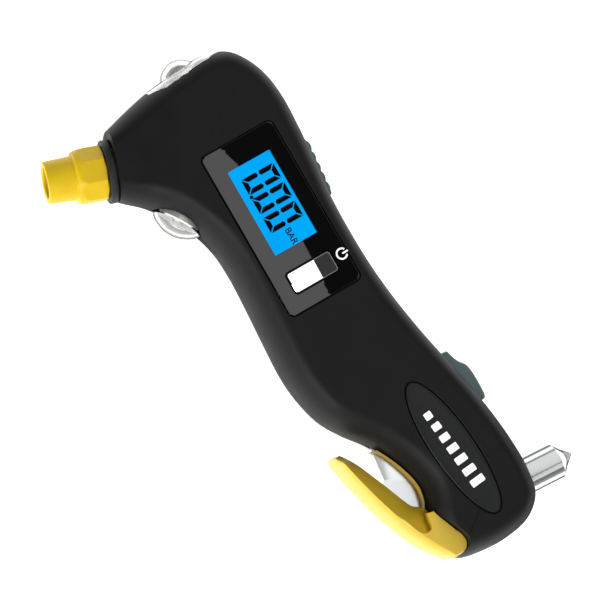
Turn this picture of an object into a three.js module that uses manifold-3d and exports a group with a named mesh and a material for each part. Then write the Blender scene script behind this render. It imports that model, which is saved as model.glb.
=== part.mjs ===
// Digital tyre pressure gauge with lamps, belt cutter and glass hammer.
// Millimetres. It lies on its back: +Z is the display side, +Y points to the head, -X to the valve nozzle.
import * as THREE from 'three';
import * as BufferGeometryUtils from 'three/addons/utils/BufferGeometryUtils.js';
import Module from 'manifold-3d';

const wasm = await Module();
wasm.setup();

// ---- driving constants ----
const bodyDepth = 28;            // back plateau to front plateau
const midZ = bodyDepth / 2;
const wall = 2.0;                // side wall
const faceWall = 2.8;            // front and back wall
const edgeRun = 6.5;             // how far the edge rounding reaches in from the outline
const gap = 0.3;                 // clearance between touching pieces
const partingGap = 0.15;         // half the gap between the two shells
const outlineSamples = 96;
const windowSize = { width: 23.0, height: 50.6, corner: 1.6, y: -5.5, bottom: 26.45, top: 28.0 };
const lcdSize = { width: 15.2, height: 29.5, y: 0, bottom: 23.6, top: 25.9 };
const buttonSize = { width: 14, height: 6.2, y: -22.7, corner: 1.2 };
const plateOval = { x: 9.85, y: -84.3, length: 43.2, width: 11.8, tilt: 5 };
const nozzleBase = new THREE.Vector3(-34.1, 30.3, midZ);
const nozzleTilt = 18.8;         // degrees above -X
const nozzleReach = 16.7;
const neckRadius = 9.75;
const hammerBase = new THREE.Vector3(14.5, -101.6, midZ);
const hammerTilt = -4.1;         // degrees
const hammerRadius = 5.05;
const bayTop = new THREE.Vector2(1.5, -47.6);
const bayTilt = 16;              // battery bay leans with the handle
const cellRadius = 5.15;
const cellLength = 43.5;
const cellZ = 9.0;
const doorSize = { width: 25, length: 49, corner: 3.5 };
const screwSpots = [[-15.2, 34.6], [11.6, 33.2], [-12.0, -42.2], [12.6, -39.9], [8.4, -106.2]];
const lampCentre = new THREE.Vector3(-23.4, 8.0, midZ);
const lampAim = new THREE.Vector3(-0.846, -0.533, 0).normalize();

const colours = {
  shell: [0x1d1f21, 0.62, 0], glossBlack: [0x0b0c0d, 0.12, 0], lcd: [0x18a8ff, 0.35, 0], diffuser: [0xe8eef2, 0.5, 0],
  chrome: [0xc8ccd0, 0.15, 1], yellow: [0xe6c41f, 0.45, 0], collar: [0x24282a, 0.7, 0], rubber: [0x2a2c2e, 0.9, 0],
  brass: [0xb58a3c, 0.35, 1], clear: [0xf2f5f5, 0.05, 0], slate: [0x4a5f5b, 0.75, 0], steel: [0xbfc4c8, 0.28, 1],
  board: [0x1f5c38, 0.6, 0], chip: [0x17181a, 0.5, 0], cell: [0x3a5a7a, 0.4, 0], white: [0xf0f0ec, 0.5, 0],
};

const root = new THREE.Group();
root.name = 'tyre_pressure_gauge';

// ---- solids ----
function toSolid(geometry) {
  const bare = geometry.clone();
  bare.deleteAttribute('normal');
  bare.deleteAttribute('uv');
  const merged = BufferGeometryUtils.mergeVertices(bare, 1e-4);
  const mesh = new wasm.Mesh({
    numProp: 3,
    vertProperties: new Float32Array(merged.attributes.position.array),
    triVerts: new Uint32Array(merged.index.array),
  });
  return new wasm.Manifold(mesh);
}

function toGeometry(solid) {
  const mesh = solid.getMesh();
  const geometry = new THREE.BufferGeometry();
  const positions = new Float32Array(mesh.numVert * 3);
  for (let i = 0; i < mesh.numVert; i += 1) {
    for (let k = 0; k < 3; k += 1) {
      positions[i * 3 + k] = mesh.vertProperties[i * mesh.numProp + k];
    }
  }
  geometry.setAttribute('position', new THREE.BufferAttribute(positions, 3));
  geometry.setIndex(new THREE.BufferAttribute(new Uint32Array(mesh.triVerts), 1));
  geometry.computeVertexNormals();
  return geometry;
}

function addPiece(name, shape, colour) {
  const geometry = shape.getMesh ? toGeometry(shape) : shape;
  const [hex, roughness, metalness] = colours[colour];
  const material = new THREE.MeshStandardMaterial({ color: hex, roughness, metalness });
  material.name = colour;
  const mesh = new THREE.Mesh(geometry, material);
  mesh.name = name;
  root.add(mesh);
  return mesh;
}

function ringsToGeometry(rings, capStart, capEnd) {
  const count = rings[0].length;
  const positions = [];
  const indices = [];
  rings.forEach((ring) => ring.forEach((p) => positions.push(p.x, p.y, p.z)));
  for (let r = 0; r + 1 < rings.length; r += 1) {
    for (let i = 0; i < count; i += 1) {
      const a = r * count + i;
      const b = r * count + ((i + 1) % count);
      indices.push(a, b, a + count);
      indices.push(b, b + count, a + count);
    }
  }
  const last = (rings.length - 1) * count;
  capStart.forEach(([a, b, c]) => indices.push(a, c, b));
  capEnd.forEach(([a, b, c]) => indices.push(last + a, last + b, last + c));
  const geometry = new THREE.BufferGeometry();
  geometry.setAttribute('position', new THREE.BufferAttribute(new Float32Array(positions), 3));
  geometry.setIndex(indices);
  return geometry;
}

function box(x0, x1, y0, y1, z0, z1) {
  const geometry = new THREE.BoxGeometry(x1 - x0, y1 - y0, z1 - z0);
  geometry.translate((x0 + x1) / 2, (y0 + y1) / 2, (z0 + z1) / 2);
  return toSolid(geometry);
}

function roundedShape(width, height, radius) {
  const w = width / 2;
  const h = height / 2;
  const shape = new THREE.Shape();
  shape.moveTo(-w + radius, -h);
  shape.lineTo(w - radius, -h);
  shape.absarc(w - radius, -h + radius, radius, -Math.PI / 2, 0, false);
  shape.lineTo(w, h - radius);
  shape.absarc(w - radius, h - radius, radius, 0, Math.PI / 2, false);
  shape.lineTo(-w + radius, h);
  shape.absarc(-w + radius, h - radius, radius, Math.PI / 2, Math.PI, false);
  shape.lineTo(-w, -h + radius);
  shape.absarc(-w + radius, -h + radius, radius, Math.PI, Math.PI * 1.5, false);
  return shape;
}

function prism(shape, z0, z1, curveSegments = 5) {
  const geometry = new THREE.ExtrudeGeometry(shape, { depth: z1 - z0, bevelEnabled: false, curveSegments });
  geometry.translate(0, 0, z0);
  return geometry;
}

function plate(width, height, radius, x, y, z0, z1, tilt = 0) {
  const geometry = prism(roundedShape(width, height, radius), z0, z1);
  geometry.rotateZ(THREE.MathUtils.degToRad(tilt));
  geometry.translate(x, y, 0);
  return toSolid(geometry);
}

function polygonPrism(points, z0, z1) {
  return toSolid(prism(new THREE.Shape(points.map(([x, y]) => new THREE.Vector2(x, y))), z0, z1));
}

// A turned piece: [radius, distance] pairs about an axis that starts at base and points along aim.
function turned(profile, base, aim, segments = 28) {
  const geometry = new THREE.LatheGeometry(profile.map(([r, t]) => new THREE.Vector2(r, t)), segments);
  const turn = new THREE.Quaternion().setFromUnitVectors(new THREE.Vector3(0, 1, 0), aim);
  geometry.applyQuaternion(turn);
  geometry.translate(base.x, base.y, base.z);
  return toSolid(geometry);
}

function rod(radius, t0, t1, base, aim, segments = 28) {
  return turned([[0, t0], [radius, t0], [radius, t1], [0, t1]], base, aim, segments);
}

function pipe(inner, outer, t0, t1, base, aim, segments = 28) {
  return turned([[inner, t0], [outer, t0], [outer, t1], [inner, t1], [inner, t0]], base, aim, segments);
}

const upZ = new THREE.Vector3(0, 0, 1);
const nozzleAim = new THREE.Vector3(
  -Math.cos(THREE.MathUtils.degToRad(nozzleTilt)), Math.sin(THREE.MathUtils.degToRad(nozzleTilt)), 0);
const hammerAim = new THREE.Vector3(
  Math.cos(THREE.MathUtils.degToRad(hammerTilt)), Math.sin(THREE.MathUtils.degToRad(hammerTilt)), 0);

// ---- the body's form: one outline, rounded over to two flat plateaus ----
const outlineKnots = [
  [-36.5, 38.3], [-28.6, 39.9], [-21, 42.0], [-12, 44.0], [-2, 45.1], [6, 45.5], [12.8, 43.2], [17.0, 38.0],
  [19.5, 31.5], [20.4, 24], [20.1, 15], [19.2, 4], [18.1, -7], [17.8, -17], [18.1, -29], [19.2, -40],
  [21.0, -51], [23.1, -61], [25.3, -71], [27.0, -81], [28.0, -91], [28.0, -100.5], [26.2, -108],
  [21.0, -112.6], [13, -114.3], [4.5, -113.9], [-1.8, -112.2], [-4.7, -108], [-5.0, -103], [-4.0, -98],
  [-2.2, -93.5], [-1.5, -89], [-2.7, -83.5], [-5.2, -77.5], [-8.4, -72], [-12.6, -66.6], [-16.5, -60],
  [-18.7, -51.5], [-19.35, -44], [-18.9, -34], [-18.1, -22], [-17.7, -12], [-18.3, -4], [-20.6, 3.5],
  [-24.6, 10.4], [-28.9, 16.0], [-33.6, 20.2], [-38.5, 25.5], [-42, 31.5], [-40.6, 36.2],
].map(([x, y]) => new THREE.Vector3(x, y, 0));

const outlineCurve = new THREE.CatmullRomCurve3(outlineKnots, true, 'centripetal');
const outlinePoints = outlineCurve.getSpacedPoints(outlineSamples).slice(0, outlineSamples);

function smoothstep(a, b, v) {
  const t = Math.min(1, Math.max(0, (v - a) / (b - a)));
  return t * t * (3 - 2 * t);
}

// Distance along the nozzle axis, counted from the collar: negative inside the body.
function alongNozzle(p) {
  return (p.x - nozzleBase.x) * nozzleAim.x + (p.y - nozzleBase.y) * nozzleAim.y;
}

const inward = outlinePoints.map((p, i) => {
  const before = outlinePoints[(i + outlineSamples - 1) % outlineSamples];
  const after = outlinePoints[(i + 1) % outlineSamples];
  const along = after.clone().sub(before).normalize();
  return new THREE.Vector3(along.y, -along.x, 0);    // the outline runs clockwise
});

// Edge run at each outline point, cut down where the outline turns tightly.
const rawRun = outlinePoints.map((p, i) => {
  const before = inward[(i + outlineSamples - 1) % outlineSamples];
  const after = inward[(i + 1) % outlineSamples];
  const turn = before.x * after.y - before.y * after.x;
  const arc = outlinePoints[(i + 1) % outlineSamples].distanceTo(outlinePoints[(i + outlineSamples - 1) % outlineSamples]);
  const radius = turn < -1e-4 ? arc / -turn : 1e3;
  const s = alongNozzle(p);
  const atNeck = 9.0 + (edgeRun - 9.0) * smoothstep(2.6, 22, -s);
  const wanted = s > -2.6 ? Math.max(4.2, 9.0 - (s + 2.6) * 0.5) : atNeck;
  return Math.min(p.x < 0 && p.y > 5 ? wanted : edgeRun, 0.78 * radius);
});
const reach = 3;
const edgeRuns = rawRun.map((_, i) => {
  let sum = 0;
  for (let k = -reach; k <= reach; k += 1) {
    let low = 1e3;
    for (let m = -reach; m <= reach; m += 1) {
      low = Math.min(low, rawRun[(i + k + m + outlineSamples * 2) % outlineSamples]);
    }
    sum += low;
  }
  return sum / (2 * reach + 1);
});

function depthShare(p) {
  const s = alongNozzle(p);
  const atNeck = neckRadius / midZ;
  return p.y > 5 ? atNeck + (1 - atNeck) * smoothstep(2.0, 24, -s) : 1;
}

// The body form, pulled in by sideIn at the outline and by faceIn at the plateaus.
function bodyForm(sideIn, faceIn, levels) {
  const rings = [];
  for (let k = -levels; k <= levels; k += 1) {
    const angle = (k / levels) * Math.PI / 2;
    rings.push(outlinePoints.map((p, i) => {
      const run = Math.max(0.6, edgeRuns[i] - sideIn * 0.35);
      const inset = sideIn + run * (1 - Math.cos(angle));
      const q = p.clone().addScaledVector(inward[i], inset);
      const half = midZ * depthShare(q) - faceIn;
      q.z = midZ + half * Math.sin(angle);
      return q;
    }));
  }
  const flat = rings[0].map((p) => new THREE.Vector2(p.x, p.y));
  const ringWay = Math.sign(THREE.ShapeUtils.area(flat));
  const caps = THREE.ShapeUtils.triangulateShape(flat, []).map(([a, b, c]) => {
    const way = Math.sign(THREE.ShapeUtils.area([flat[a], flat[b], flat[c]]));
    return way === ringWay ? [a, b, c] : [a, c, b];
  });
  let geometry = ringsToGeometry(rings, caps, caps);
  const solid = toSolid(geometry);
  if (solid.volume() < 0) {
    geometry = ringsToGeometry([...rings].reverse(), caps, caps);
    return toSolid(geometry);
  }
  return solid;
}

const outerForm = bodyForm(0, 0, 6);
const innerForm = bodyForm(wall, faceWall, 4);

// ---- cutter guard stations: [y, outer x, inner x, inner half thickness] ----
const guardOuter = new THREE.CatmullRomCurve3([
  [-19.4, -70.6], [-18.9, -74], [-17.9, -80], [-16.0, -88], [-13.4, -96], [-9.8, -104], [-6.9, -108.2], [-4.1, -111.2],
].map(([x, y]) => new THREE.Vector3(x, y, 0)), false, 'centripetal');
const guardInner = new THREE.CatmullRomCurve3([
  [-17.0, -70.6], [-15.9, -72], [-13.8, -75.5], [-11.8, -80], [-9.7, -85], [-7.7, -90], [-6.2, -93],
  [-3.6, -95.2], [-2.4, -98.6], [-0.6, -103], [0.8, -107], [0.8, -108.9], [-0.3, -110.4], [-1.8, -111.0], [-3.9, -111.2],
].map(([x, y]) => new THREE.Vector3(x, y, 0)), false, 'centripetal');

function xAt(curve, y) {
  let low = 0;
  let high = 1;
  for (let i = 0; i < 40; i += 1) {
    const middle = (low + high) / 2;
    if (curve.getPoint(middle).y > y) low = middle;
    else high = middle;
  }
  return curve.getPoint((low + high) / 2).x;
}

const guardStations = [-70.6, -71, -72, -73.5, -76, -79, -82, -85, -88, -91, -93, -94.3, -95.2, -96.4, -98,
  -99.6, -101.4, -104, -106.5, -108.6, -109.8, -110.4, -110.9, -111.15];

function guardRing(y) {
  const outer = xAt(guardOuter, y);
  const inner = xAt(guardInner, y);
  const taper = smoothstep(-70.2, -73, y) * smoothstep(-112.2, -110.4, y);
  const full = 9.3 * (0.62 + 0.38 * taper);
  const thin = 3.0 + (full - 3.0) * smoothstep(-102, -105, y);
  const width = inner - outer;
  const half = [
    [outer, 0], [outer + width * 0.03, 4.2 / 9.3 * full], [outer + width * 0.1, 7.6 / 9.3 * full],
    [outer + width * 0.24, full], [outer + width * 0.62, full + (Math.min(thin, full) - full) * 0.55],
    [inner, Math.min(thin, full)],
  ];
  const top = half.map(([x, h]) => new THREE.Vector3(x, y, midZ + h));
  const bottom = half.slice(1).reverse().map(([x, h]) => new THREE.Vector3(x, y, midZ - h));
  return [...top, ...bottom];
}

const guardRings = guardStations.map(guardRing);
const fan = [];
for (let i = 1; i + 1 < guardRings[0].length; i += 1) {
  fan.push([0, i, i + 1]);
}
let guardGeometry = ringsToGeometry(guardRings, fan, fan);
if (toSolid(guardGeometry).volume() < 0) {
  guardGeometry = ringsToGeometry([...guardRings].reverse(), fan, fan);
}
// The foot keeps its full thickness; a curved edge parts it from the hook's sloping face.
const footArc = [
  [-9.6, -99.3], [-8.7, -100.6], [-7.4, -101.2], [-5.8, -101.1], [-4.5, -100.2], [-3.8, -98.7],
];
const footYs = [-99.3, -101, -103, -105, -107, -108.9, -110, -110.5];
const footRight = footYs.map((y) => [xAt(guardInner, y) - 0.03, y]);
const footLeft = [-110.5, -108.6, -106, -103.5, -101].map((y) => {
  const outer = xAt(guardOuter, y);
  return [outer + 0.24 * (xAt(guardInner, y) - outer), y];
});
const footBlock = polygonPrism([...footArc, ...footRight, ...footLeft], midZ - 9.28, midZ + 9.28);
const guardHook = toSolid(guardGeometry).add(footBlock);

// Where the guard's foot sits in the body, grown by a clearance.
function footPocket(clear) {
  const ys = guardStations.filter((y) => y <= -95.1 && y > -112);
  const right = ys.map((y) => [xAt(guardInner, y) + clear * 1.05, y]);
  const top = [[-40, -94.9 + clear], [right[0][0], -94.9 + clear]];
  const bottom = [[-2.6 + clear * 0.4, -111.2 - clear * 0.6], [-40, -111.2 - clear * 0.6]];
  return polygonPrism([...top, ...right, ...bottom], -2, bodyDepth + 2);
}

const bladeOutline = [
  [-7.5, -72.6], [-8.7, -83.0], [-12.6, -86.8], [-11.6, -93.2], [-7.6, -99.4], [-3.6, -98.6], [-0.9, -92.5],
  [-1.2, -88], [-2.6, -82], [-4.8, -76.4], [-6.6, -73.0],
];
const bladeThickness = 0.9;
const bladeSlit = polygonPrism([
  [-8.4, -71.6], [-9.6, -82.9], [-13.2, -86.5], [-12.1, -93.5], [-7.8, -100.1], [-3.2, -99.2], [-0.3, -92.6],
  [-0.6, -87.6], [-2.0, -81.6], [-4.2, -75.8], [-6.0, -71.8],
], midZ - bladeThickness / 2 - gap, midZ + bladeThickness / 2 + gap);

// ---- shells ----
const cavity = innerForm.subtract(footPocket(2.3));
let hollow = outerForm.subtract(cavity).subtract(footPocket(gap)).subtract(bladeSlit);

const neckCut = nozzleBase.clone().addScaledVector(nozzleAim, -2.6);
const neckCutter = turned([[0, 0], [24, 0], [24, 30], [0, 30]], neckCut, nozzleAim, 24);
hollow = hollow.subtract(neckCutter);

const throat = rod(7.4, -14, 2, nozzleBase, nozzleAim, 32);
hollow = hollow.subtract(throat);

const lensPort = { x0: -13.3, x1: 9.7, endHalf: 7.2, half: 11.0, ease: 4.4 };
function portPrism(grow) {
  const { x0, x1, endHalf, half, ease } = lensPort;
  const corners = [
    [x0 - grow, -endHalf], [x0 + ease, -half - grow], [x1 - ease, -half - grow], [x1 + grow, -endHalf],
    [x1 + grow, endHalf], [x1 - ease, half + grow], [x0 + ease, half + grow], [x0 - grow, endHalf],
  ];
  const geometry = prism(new THREE.Shape(corners.map(([x, z]) => new THREE.Vector2(x, z))), 0, 14);
  geometry.rotateX(Math.PI / 2);
  geometry.translate(0, 52, midZ);
  return toSolid(geometry);
}
const lensHole = portPrism(gap);
const lensSkin = outerForm.subtract(bodyForm(1.7, 2.4, 4));
hollow = hollow.subtract(lensHole);

const lampHole = rod(7.75, -9, 9, lampCentre, lampAim, 32);
hollow = hollow.subtract(lampHole);

const sideSlot = box(12, 26, -6.6, 10.8, midZ - 4.6, midZ + 4.6);
hollow = hollow.subtract(sideSlot);

const trigger = { x: 24.6, y: -69, tilt: 12.2, length: 17.2, half: 4.4 };
const triggerSlot = plate(8.5, trigger.length + 2 * gap, 0.8, trigger.x, trigger.y, midZ - trigger.half - gap,
  midZ + trigger.half + gap, trigger.tilt);
hollow = hollow.subtract(triggerSlot);

const hammerHole = rod(hammerRadius + gap, 2, 40, hammerBase, hammerAim, 32);
hollow = hollow.subtract(hammerHole);

const doorX = bayTop.x + Math.sin(THREE.MathUtils.degToRad(bayTilt)) * (cellLength / 2 + 1.4);
const doorY = bayTop.y - Math.cos(THREE.MathUtils.degToRad(bayTilt)) * (cellLength / 2 + 1.4);
const doorPrism = plate(doorSize.width, doorSize.length, doorSize.corner, doorX, doorY, -2, 5.5, bayTilt);
const doorHole = plate(doorSize.width + 2 * gap, doorSize.length + 2 * gap, doorSize.corner + gap,
  doorX, doorY, -4, 6, bayTilt);

const frontZone = box(-70, 60, -130, 70, midZ + partingGap, 40);
const rearZone = box(-70, 60, -130, 70, -12, midZ - partingGap);
let frontShell = hollow.intersect(frontZone);
let rearShell = hollow.intersect(rearZone).subtract(doorHole);

// Screw towers: the front one takes the thread, the rear one the head.
const towerRoom = bodyForm(0.9, 1.2, 4);
screwSpots.forEach(([x, y]) => {
  const foot = new THREE.Vector3(x, y, 0);
  frontShell = frontShell.add(rod(2.9, midZ + partingGap, 25.9, foot, upZ, 16).intersect(towerRoom));
  frontShell = frontShell.subtract(rod(1.4, 10, 23.5, foot, upZ, 12));
  rearShell = rearShell.add(rod(3.6, 2.2, midZ - partingGap, foot, upZ, 16).intersect(towerRoom));
  rearShell = rearShell.subtract(rod(2.9, -3, 3.4, foot, upZ, 16));
  rearShell = rearShell.subtract(rod(1.5, 3, 20, foot, upZ, 12));
});

frontShell = frontShell.subtract(plate(windowSize.width + 2 * gap, windowSize.height + 2 * gap,
  windowSize.corner + gap, 0, windowSize.y, windowSize.bottom - gap, 32));
frontShell = frontShell.subtract(plate(18.6, 46.6, 2, 0, windowSize.y, 20, 30));

function ovalShape(length, width) {
  const shape = new THREE.Shape();
  shape.absellipse(0, 0, width / 2, length / 2, 0, Math.PI * 2, false, 0);
  return shape;
}
function oval(length, width, z0, z1) {
  const geometry = prism(ovalShape(length, width), z0, z1, 18);
  geometry.rotateZ(THREE.MathUtils.degToRad(plateOval.tilt));
  geometry.translate(plateOval.x, plateOval.y, 0);
  return toSolid(geometry);
}
frontShell = frontShell.subtract(oval(plateOval.length + 2 * gap, plateOval.width + 2 * gap, 26.8, 32));

addPiece('front_shell', frontShell, 'shell');
addPiece('rear_shell', rearShell, 'shell');
addPiece('battery_door', outerForm.subtract(bodyForm(wall, 2.4, 4)).intersect(doorPrism), 'shell');
addPiece('nameplate', oval(plateOval.length, plateOval.width, 27.1, 28.1), 'glossBlack');

// ---- display stack ----
const buttonHole = plate(buttonSize.width + 2 * gap, buttonSize.height + 2 * gap, buttonSize.corner + gap,
  0, buttonSize.y, 20, 32);
addPiece('window_lens', plate(windowSize.width, windowSize.height, windowSize.corner, 0, windowSize.y,
  windowSize.bottom, windowSize.top).subtract(buttonHole), 'glossBlack');
addPiece('lcd_panel', plate(lcdSize.width, lcdSize.height, 0.6, 0, lcdSize.y, lcdSize.bottom, lcdSize.top), 'lcd');
addPiece('lcd_backlight', plate(lcdSize.width, lcdSize.height + 1, 0.6, 0, lcdSize.y, 20.6, 23.3), 'diffuser');
const buttonCap = plate(buttonSize.width, buttonSize.height, buttonSize.corner, 0, buttonSize.y, 22.6, 28.5);
const buttonFlange = plate(16.4, 8.4, 1.2, 0, buttonSize.y, 22.6, 24.2);
addPiece('power_button', buttonCap.add(buttonFlange), 'chrome');
addPiece('power_switch', plate(6, 6, 0.6, 0, buttonSize.y, 17.9, 21.2), 'chip');
addPiece('main_board', plate(26, 62, 2, -0.6, -5.4, 16.1, 17.6), 'board');
addPiece('gauge_chip', plate(9, 9, 0.5, 0, 8, 17.9, 19.4), 'chip');
addPiece('buzzer', rod(5.5, 11.6, 15.8, new THREE.Vector3(5, -18, 0), upZ, 20), 'chip');

// ---- valve nozzle, collar, seal, pin, hose, sensor ----
const tipTurned = turned([[0, -9], [6.4, -9], [6.4, 8.3], [6.3, 8.9], [5.95, nozzleReach - 0.4],
  [5.6, nozzleReach], [0, nozzleReach]], nozzleBase, nozzleAim, 32);
const nutRadius = 14.9 / 2 / Math.cos(Math.PI / 8);
const nutTurned = new THREE.CylinderGeometry(nutRadius, nutRadius, 8.25, 8, 1);
nutTurned.rotateY(Math.PI / 8);
nutTurned.translate(0, 4.325, 0);
nutTurned.applyQuaternion(new THREE.Quaternion().setFromUnitVectors(new THREE.Vector3(0, 1, 0), nozzleAim));
nutTurned.translate(nozzleBase.x, nozzleBase.y, nozzleBase.z);
const nutEase = turned([[0, 0], [9, 0], [9, 3.3], [7.2, 8.45], [0, 8.45]], nozzleBase, nozzleAim, 32);
const nut = toSolid(nutTurned).intersect(nutEase);
const bore = turned([[0, -12], [2.2, -12], [2.2, 5], [4.3, 5], [4.3, nozzleReach - 0.3], [4.7, nozzleReach + 0.2],
  [4.7, nozzleReach + 3], [0, nozzleReach + 3]], nozzleBase, nozzleAim, 28);
addPiece('valve_nozzle', tipTurned.add(nut).subtract(bore), 'yellow');
addPiece('nozzle_collar', turned([[6.7, -2.3], [8.55, -2.3], [8.95, -1.9], [8.95, -0.5], [8.55, -0.1], [6.7, -0.1],
  [6.7, -2.3]], nozzleBase, nozzleAim, 32), 'collar');
addPiece('nozzle_seal', pipe(1.4, 4.0, 5.3, 7.2, nozzleBase, nozzleAim, 20), 'rubber');
addPiece('depressor_pin', turned([[0, 1.5], [1.8, 1.5], [1.8, 2.5], [0.8, 2.8], [0.8, 11], [0.5, 11.4], [0, 11.4]],
  nozzleBase, nozzleAim, 12), 'brass');
addPiece('air_tube', pipe(0.9, 1.8, -22, -9.3, nozzleBase, nozzleAim, 18), 'rubber');
const sensorSpot = nozzleBase.clone().addScaledVector(nozzleAim, -27);
addPiece('pressure_sensor', plate(8.4, 10, 0.8, sensorSpot.x, sensorSpot.y, 9.2, 15.8, -nozzleTilt), 'chip');

// ---- head lamp ----
const domeCentre = new THREE.Vector3(-1.8, 42.2, midZ);
const domeOuter = new THREE.SphereGeometry(6.0, 24, 14);
domeOuter.translate(domeCentre.x, domeCentre.y, domeCentre.z);
const domeInner = new THREE.SphereGeometry(4.8, 20, 12);
domeInner.translate(domeCentre.x, domeCentre.y, domeCentre.z);
const aboveSkin = box(-20, 20, 43.3, 60, 0, 28);
const lensStrip = lensSkin.intersect(portPrism(0));
addPiece('headlamp_lens', lensStrip.add(toSolid(domeOuter).intersect(aboveSkin)).subtract(toSolid(domeInner)), 'clear');
const upY = new THREE.Vector3(0, 1, 0);
addPiece('headlamp_reflector', turned([[1.9, 30.2], [4.4, 30.2], [6.4, 36], [6.4, 37.2], [5.7, 37.2], [3.6, 31.2], [1.9, 31.2],
  [1.9, 30.2]], new THREE.Vector3(-1.8, 4.2, midZ), upY, 24), 'chrome');
addPiece('headlamp_led', turned([[0, 0], [1.5, 0], [1.5, 4.2], [1.1, 5.3], [0, 5.7]],
  new THREE.Vector3(-1.8, 34.0, midZ), upY, 14), 'clear');
addPiece('headlamp_board', box(-8.3, 4.7, 32.2, 33.6, midZ - 4.4, midZ + 1.7), 'board');

// ---- valve lamp ----
const capRadius = 10.03;
const capBase = 3.6 - capRadius;
function capArc(radius, rim, steps) {
  const points = [];
  for (let i = 0; i <= steps; i += 1) {
    const r = rim * (1 - i / steps);
    points.push([r, capBase + Math.sqrt(radius * radius - r * r)]);
  }
  return points;
}
const lensOuter = [[0, -3], [7.4, -3], ...capArc(capRadius, 7.4, 6)];
const lensInnerCut = [[0, -4], [6.4, -4], ...capArc(capRadius - 1.1, 6.4, 5)];
addPiece('valve_lamp_lens', turned(lensOuter, lampCentre, lampAim, 30)
  .subtract(turned(lensInnerCut, lampCentre, lampAim, 28)), 'clear');
addPiece('valve_lamp_seat', turned([[0, -2.6], [6.0, -2.6], [6.0, -0.15], [5.6, -0.15], [5.0, -1.8], [0, -2.0]],
  lampCentre, lampAim, 24), 'white');
addPiece('valve_lamp_led', turned([[0, -1.6], [1.7, -1.6], [1.7, -0.4], [1.0, 0.5], [0, 0.8]], lampCentre, lampAim, 14), 'clear');

// ---- spine controls ----
const padShape = new THREE.Shape();
padShape.moveTo(17.0, -6.3);
padShape.lineTo(18.7, -6.3);
const ribs = 5;
for (let i = 0; i < ribs; i += 1) {
  const y = -4.9 + i * 3.1;
  const x = 19.0 + i * 0.27;
  padShape.lineTo(x - 0.1, y);
  padShape.quadraticCurveTo(x + 0.55, y + 1.2, x - 0.1, y + 2.3);
}
padShape.lineTo(19.9, 10.5);
padShape.lineTo(17.0, 10.5);
const padCore = toSolid(prism(padShape, midZ - 4.3, midZ + 4.3, 4));
const padFlange = box(15.2, 17.1, -7.4, 11.6, midZ - 5.4, midZ + 5.4).intersect(bodyForm(wall + 0.4, faceWall, 4));
addPiece('lamp_button', padCore.add(padFlange), 'slate');
addPiece('lamp_switch', box(11.2, 14.0, -1.2, 4.8, midZ - 2.8, midZ + 1.9), 'chip');

const triggerShape = new THREE.Shape();
triggerShape.moveTo(22.0, -60.6);
triggerShape.lineTo(24.7, -60.6);
triggerShape.lineTo(25.3, -62.6);
triggerShape.quadraticCurveTo(26.2, -65.2, 27.8, -66.5);
triggerShape.quadraticCurveTo(28.6, -71.0, 28.0, -76.5);
triggerShape.quadraticCurveTo(27.8, -77.4, 26.8, -77.5);
triggerShape.lineTo(24.3, -77.3);
addPiece('trigger_button', toSolid(prism(triggerShape, midZ - 4.2, midZ + 4.2, 4)), 'slate');
addPiece('trigger_switch', plate(2.2, 7, 0.4, 19.2, -70.4, 15.6, 19.6, trigger.tilt), 'chip');

// ---- belt cutter ----
const bladeEdge = polygonPrism(bladeOutline, midZ - bladeThickness / 2, midZ + bladeThickness / 2);
const liningPoints = [];
const liningYs = [-74.5, -77.5, -80.5, -83.5, -86.5, -89.5, -92, -93.6];
function bodySideX(y) {
  let best = 1e3;
  let found = 0;
  outlinePoints.forEach((p, i) => {
    const q = outlinePoints[(i + 1) % outlineSamples];
    if (p.x < 5 && (p.y - y) * (q.y - y) <= 0 && Math.abs(q.y - p.y) > 1e-6) {
      const x = p.x + (q.x - p.x) * ((y - p.y) / (q.y - p.y));
      if (Math.abs(x + 4) < best) {
        best = Math.abs(x + 4);
        found = x;
      }
    }
  });
  return found;
}
liningYs.forEach((y) => liningPoints.push([bodySideX(y) - gap, y]));
const liningLeft = liningYs.map((y) => [bodySideX(y) - gap - 0.75, y]).reverse();
const lining = polygonPrism([...liningPoints, [-3.5, -95.4], [-4.9, -96.4], ...liningLeft], midZ - 3.6, midZ + 3.6);
const pinSpots = [[-10.6, -88.6], [-7.2, -96.4]];
let guard = guardHook.add(lining).subtract(bladeSlit);
let blade = bladeEdge;
pinSpots.forEach(([x, y], i) => {
  const foot = new THREE.Vector3(x, y, 0);
  guard = guard.subtract(rod(1.3, midZ - 4.6, midZ + 4.6, foot, upZ, 14));
  blade = blade.subtract(rod(1.3, 0, bodyDepth, foot, upZ, 14));
  addPiece(`blade_pin_${i + 1}`, rod(1.0, midZ - 4.2, midZ + 4.2, foot, upZ, 14), 'steel');
});
addPiece('cutter_blade', blade, 'steel');
addPiece('cutter_guard', guard, 'yellow');

// ---- glass hammer ----
addPiece('hammer_shank', turned([[0, 0], [4.6, 0], [hammerRadius, 0.6], [hammerRadius, 23.3], [2.7, 24.9], [0, 24.9]],
  hammerBase, hammerAim, 32), 'steel');
addPiece('hammer_point', turned([[0, 25.2], [2.5, 25.2], [0.25, 27.6], [0, 27.7]], hammerBase, hammerAim, 20), 'steel');

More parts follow.
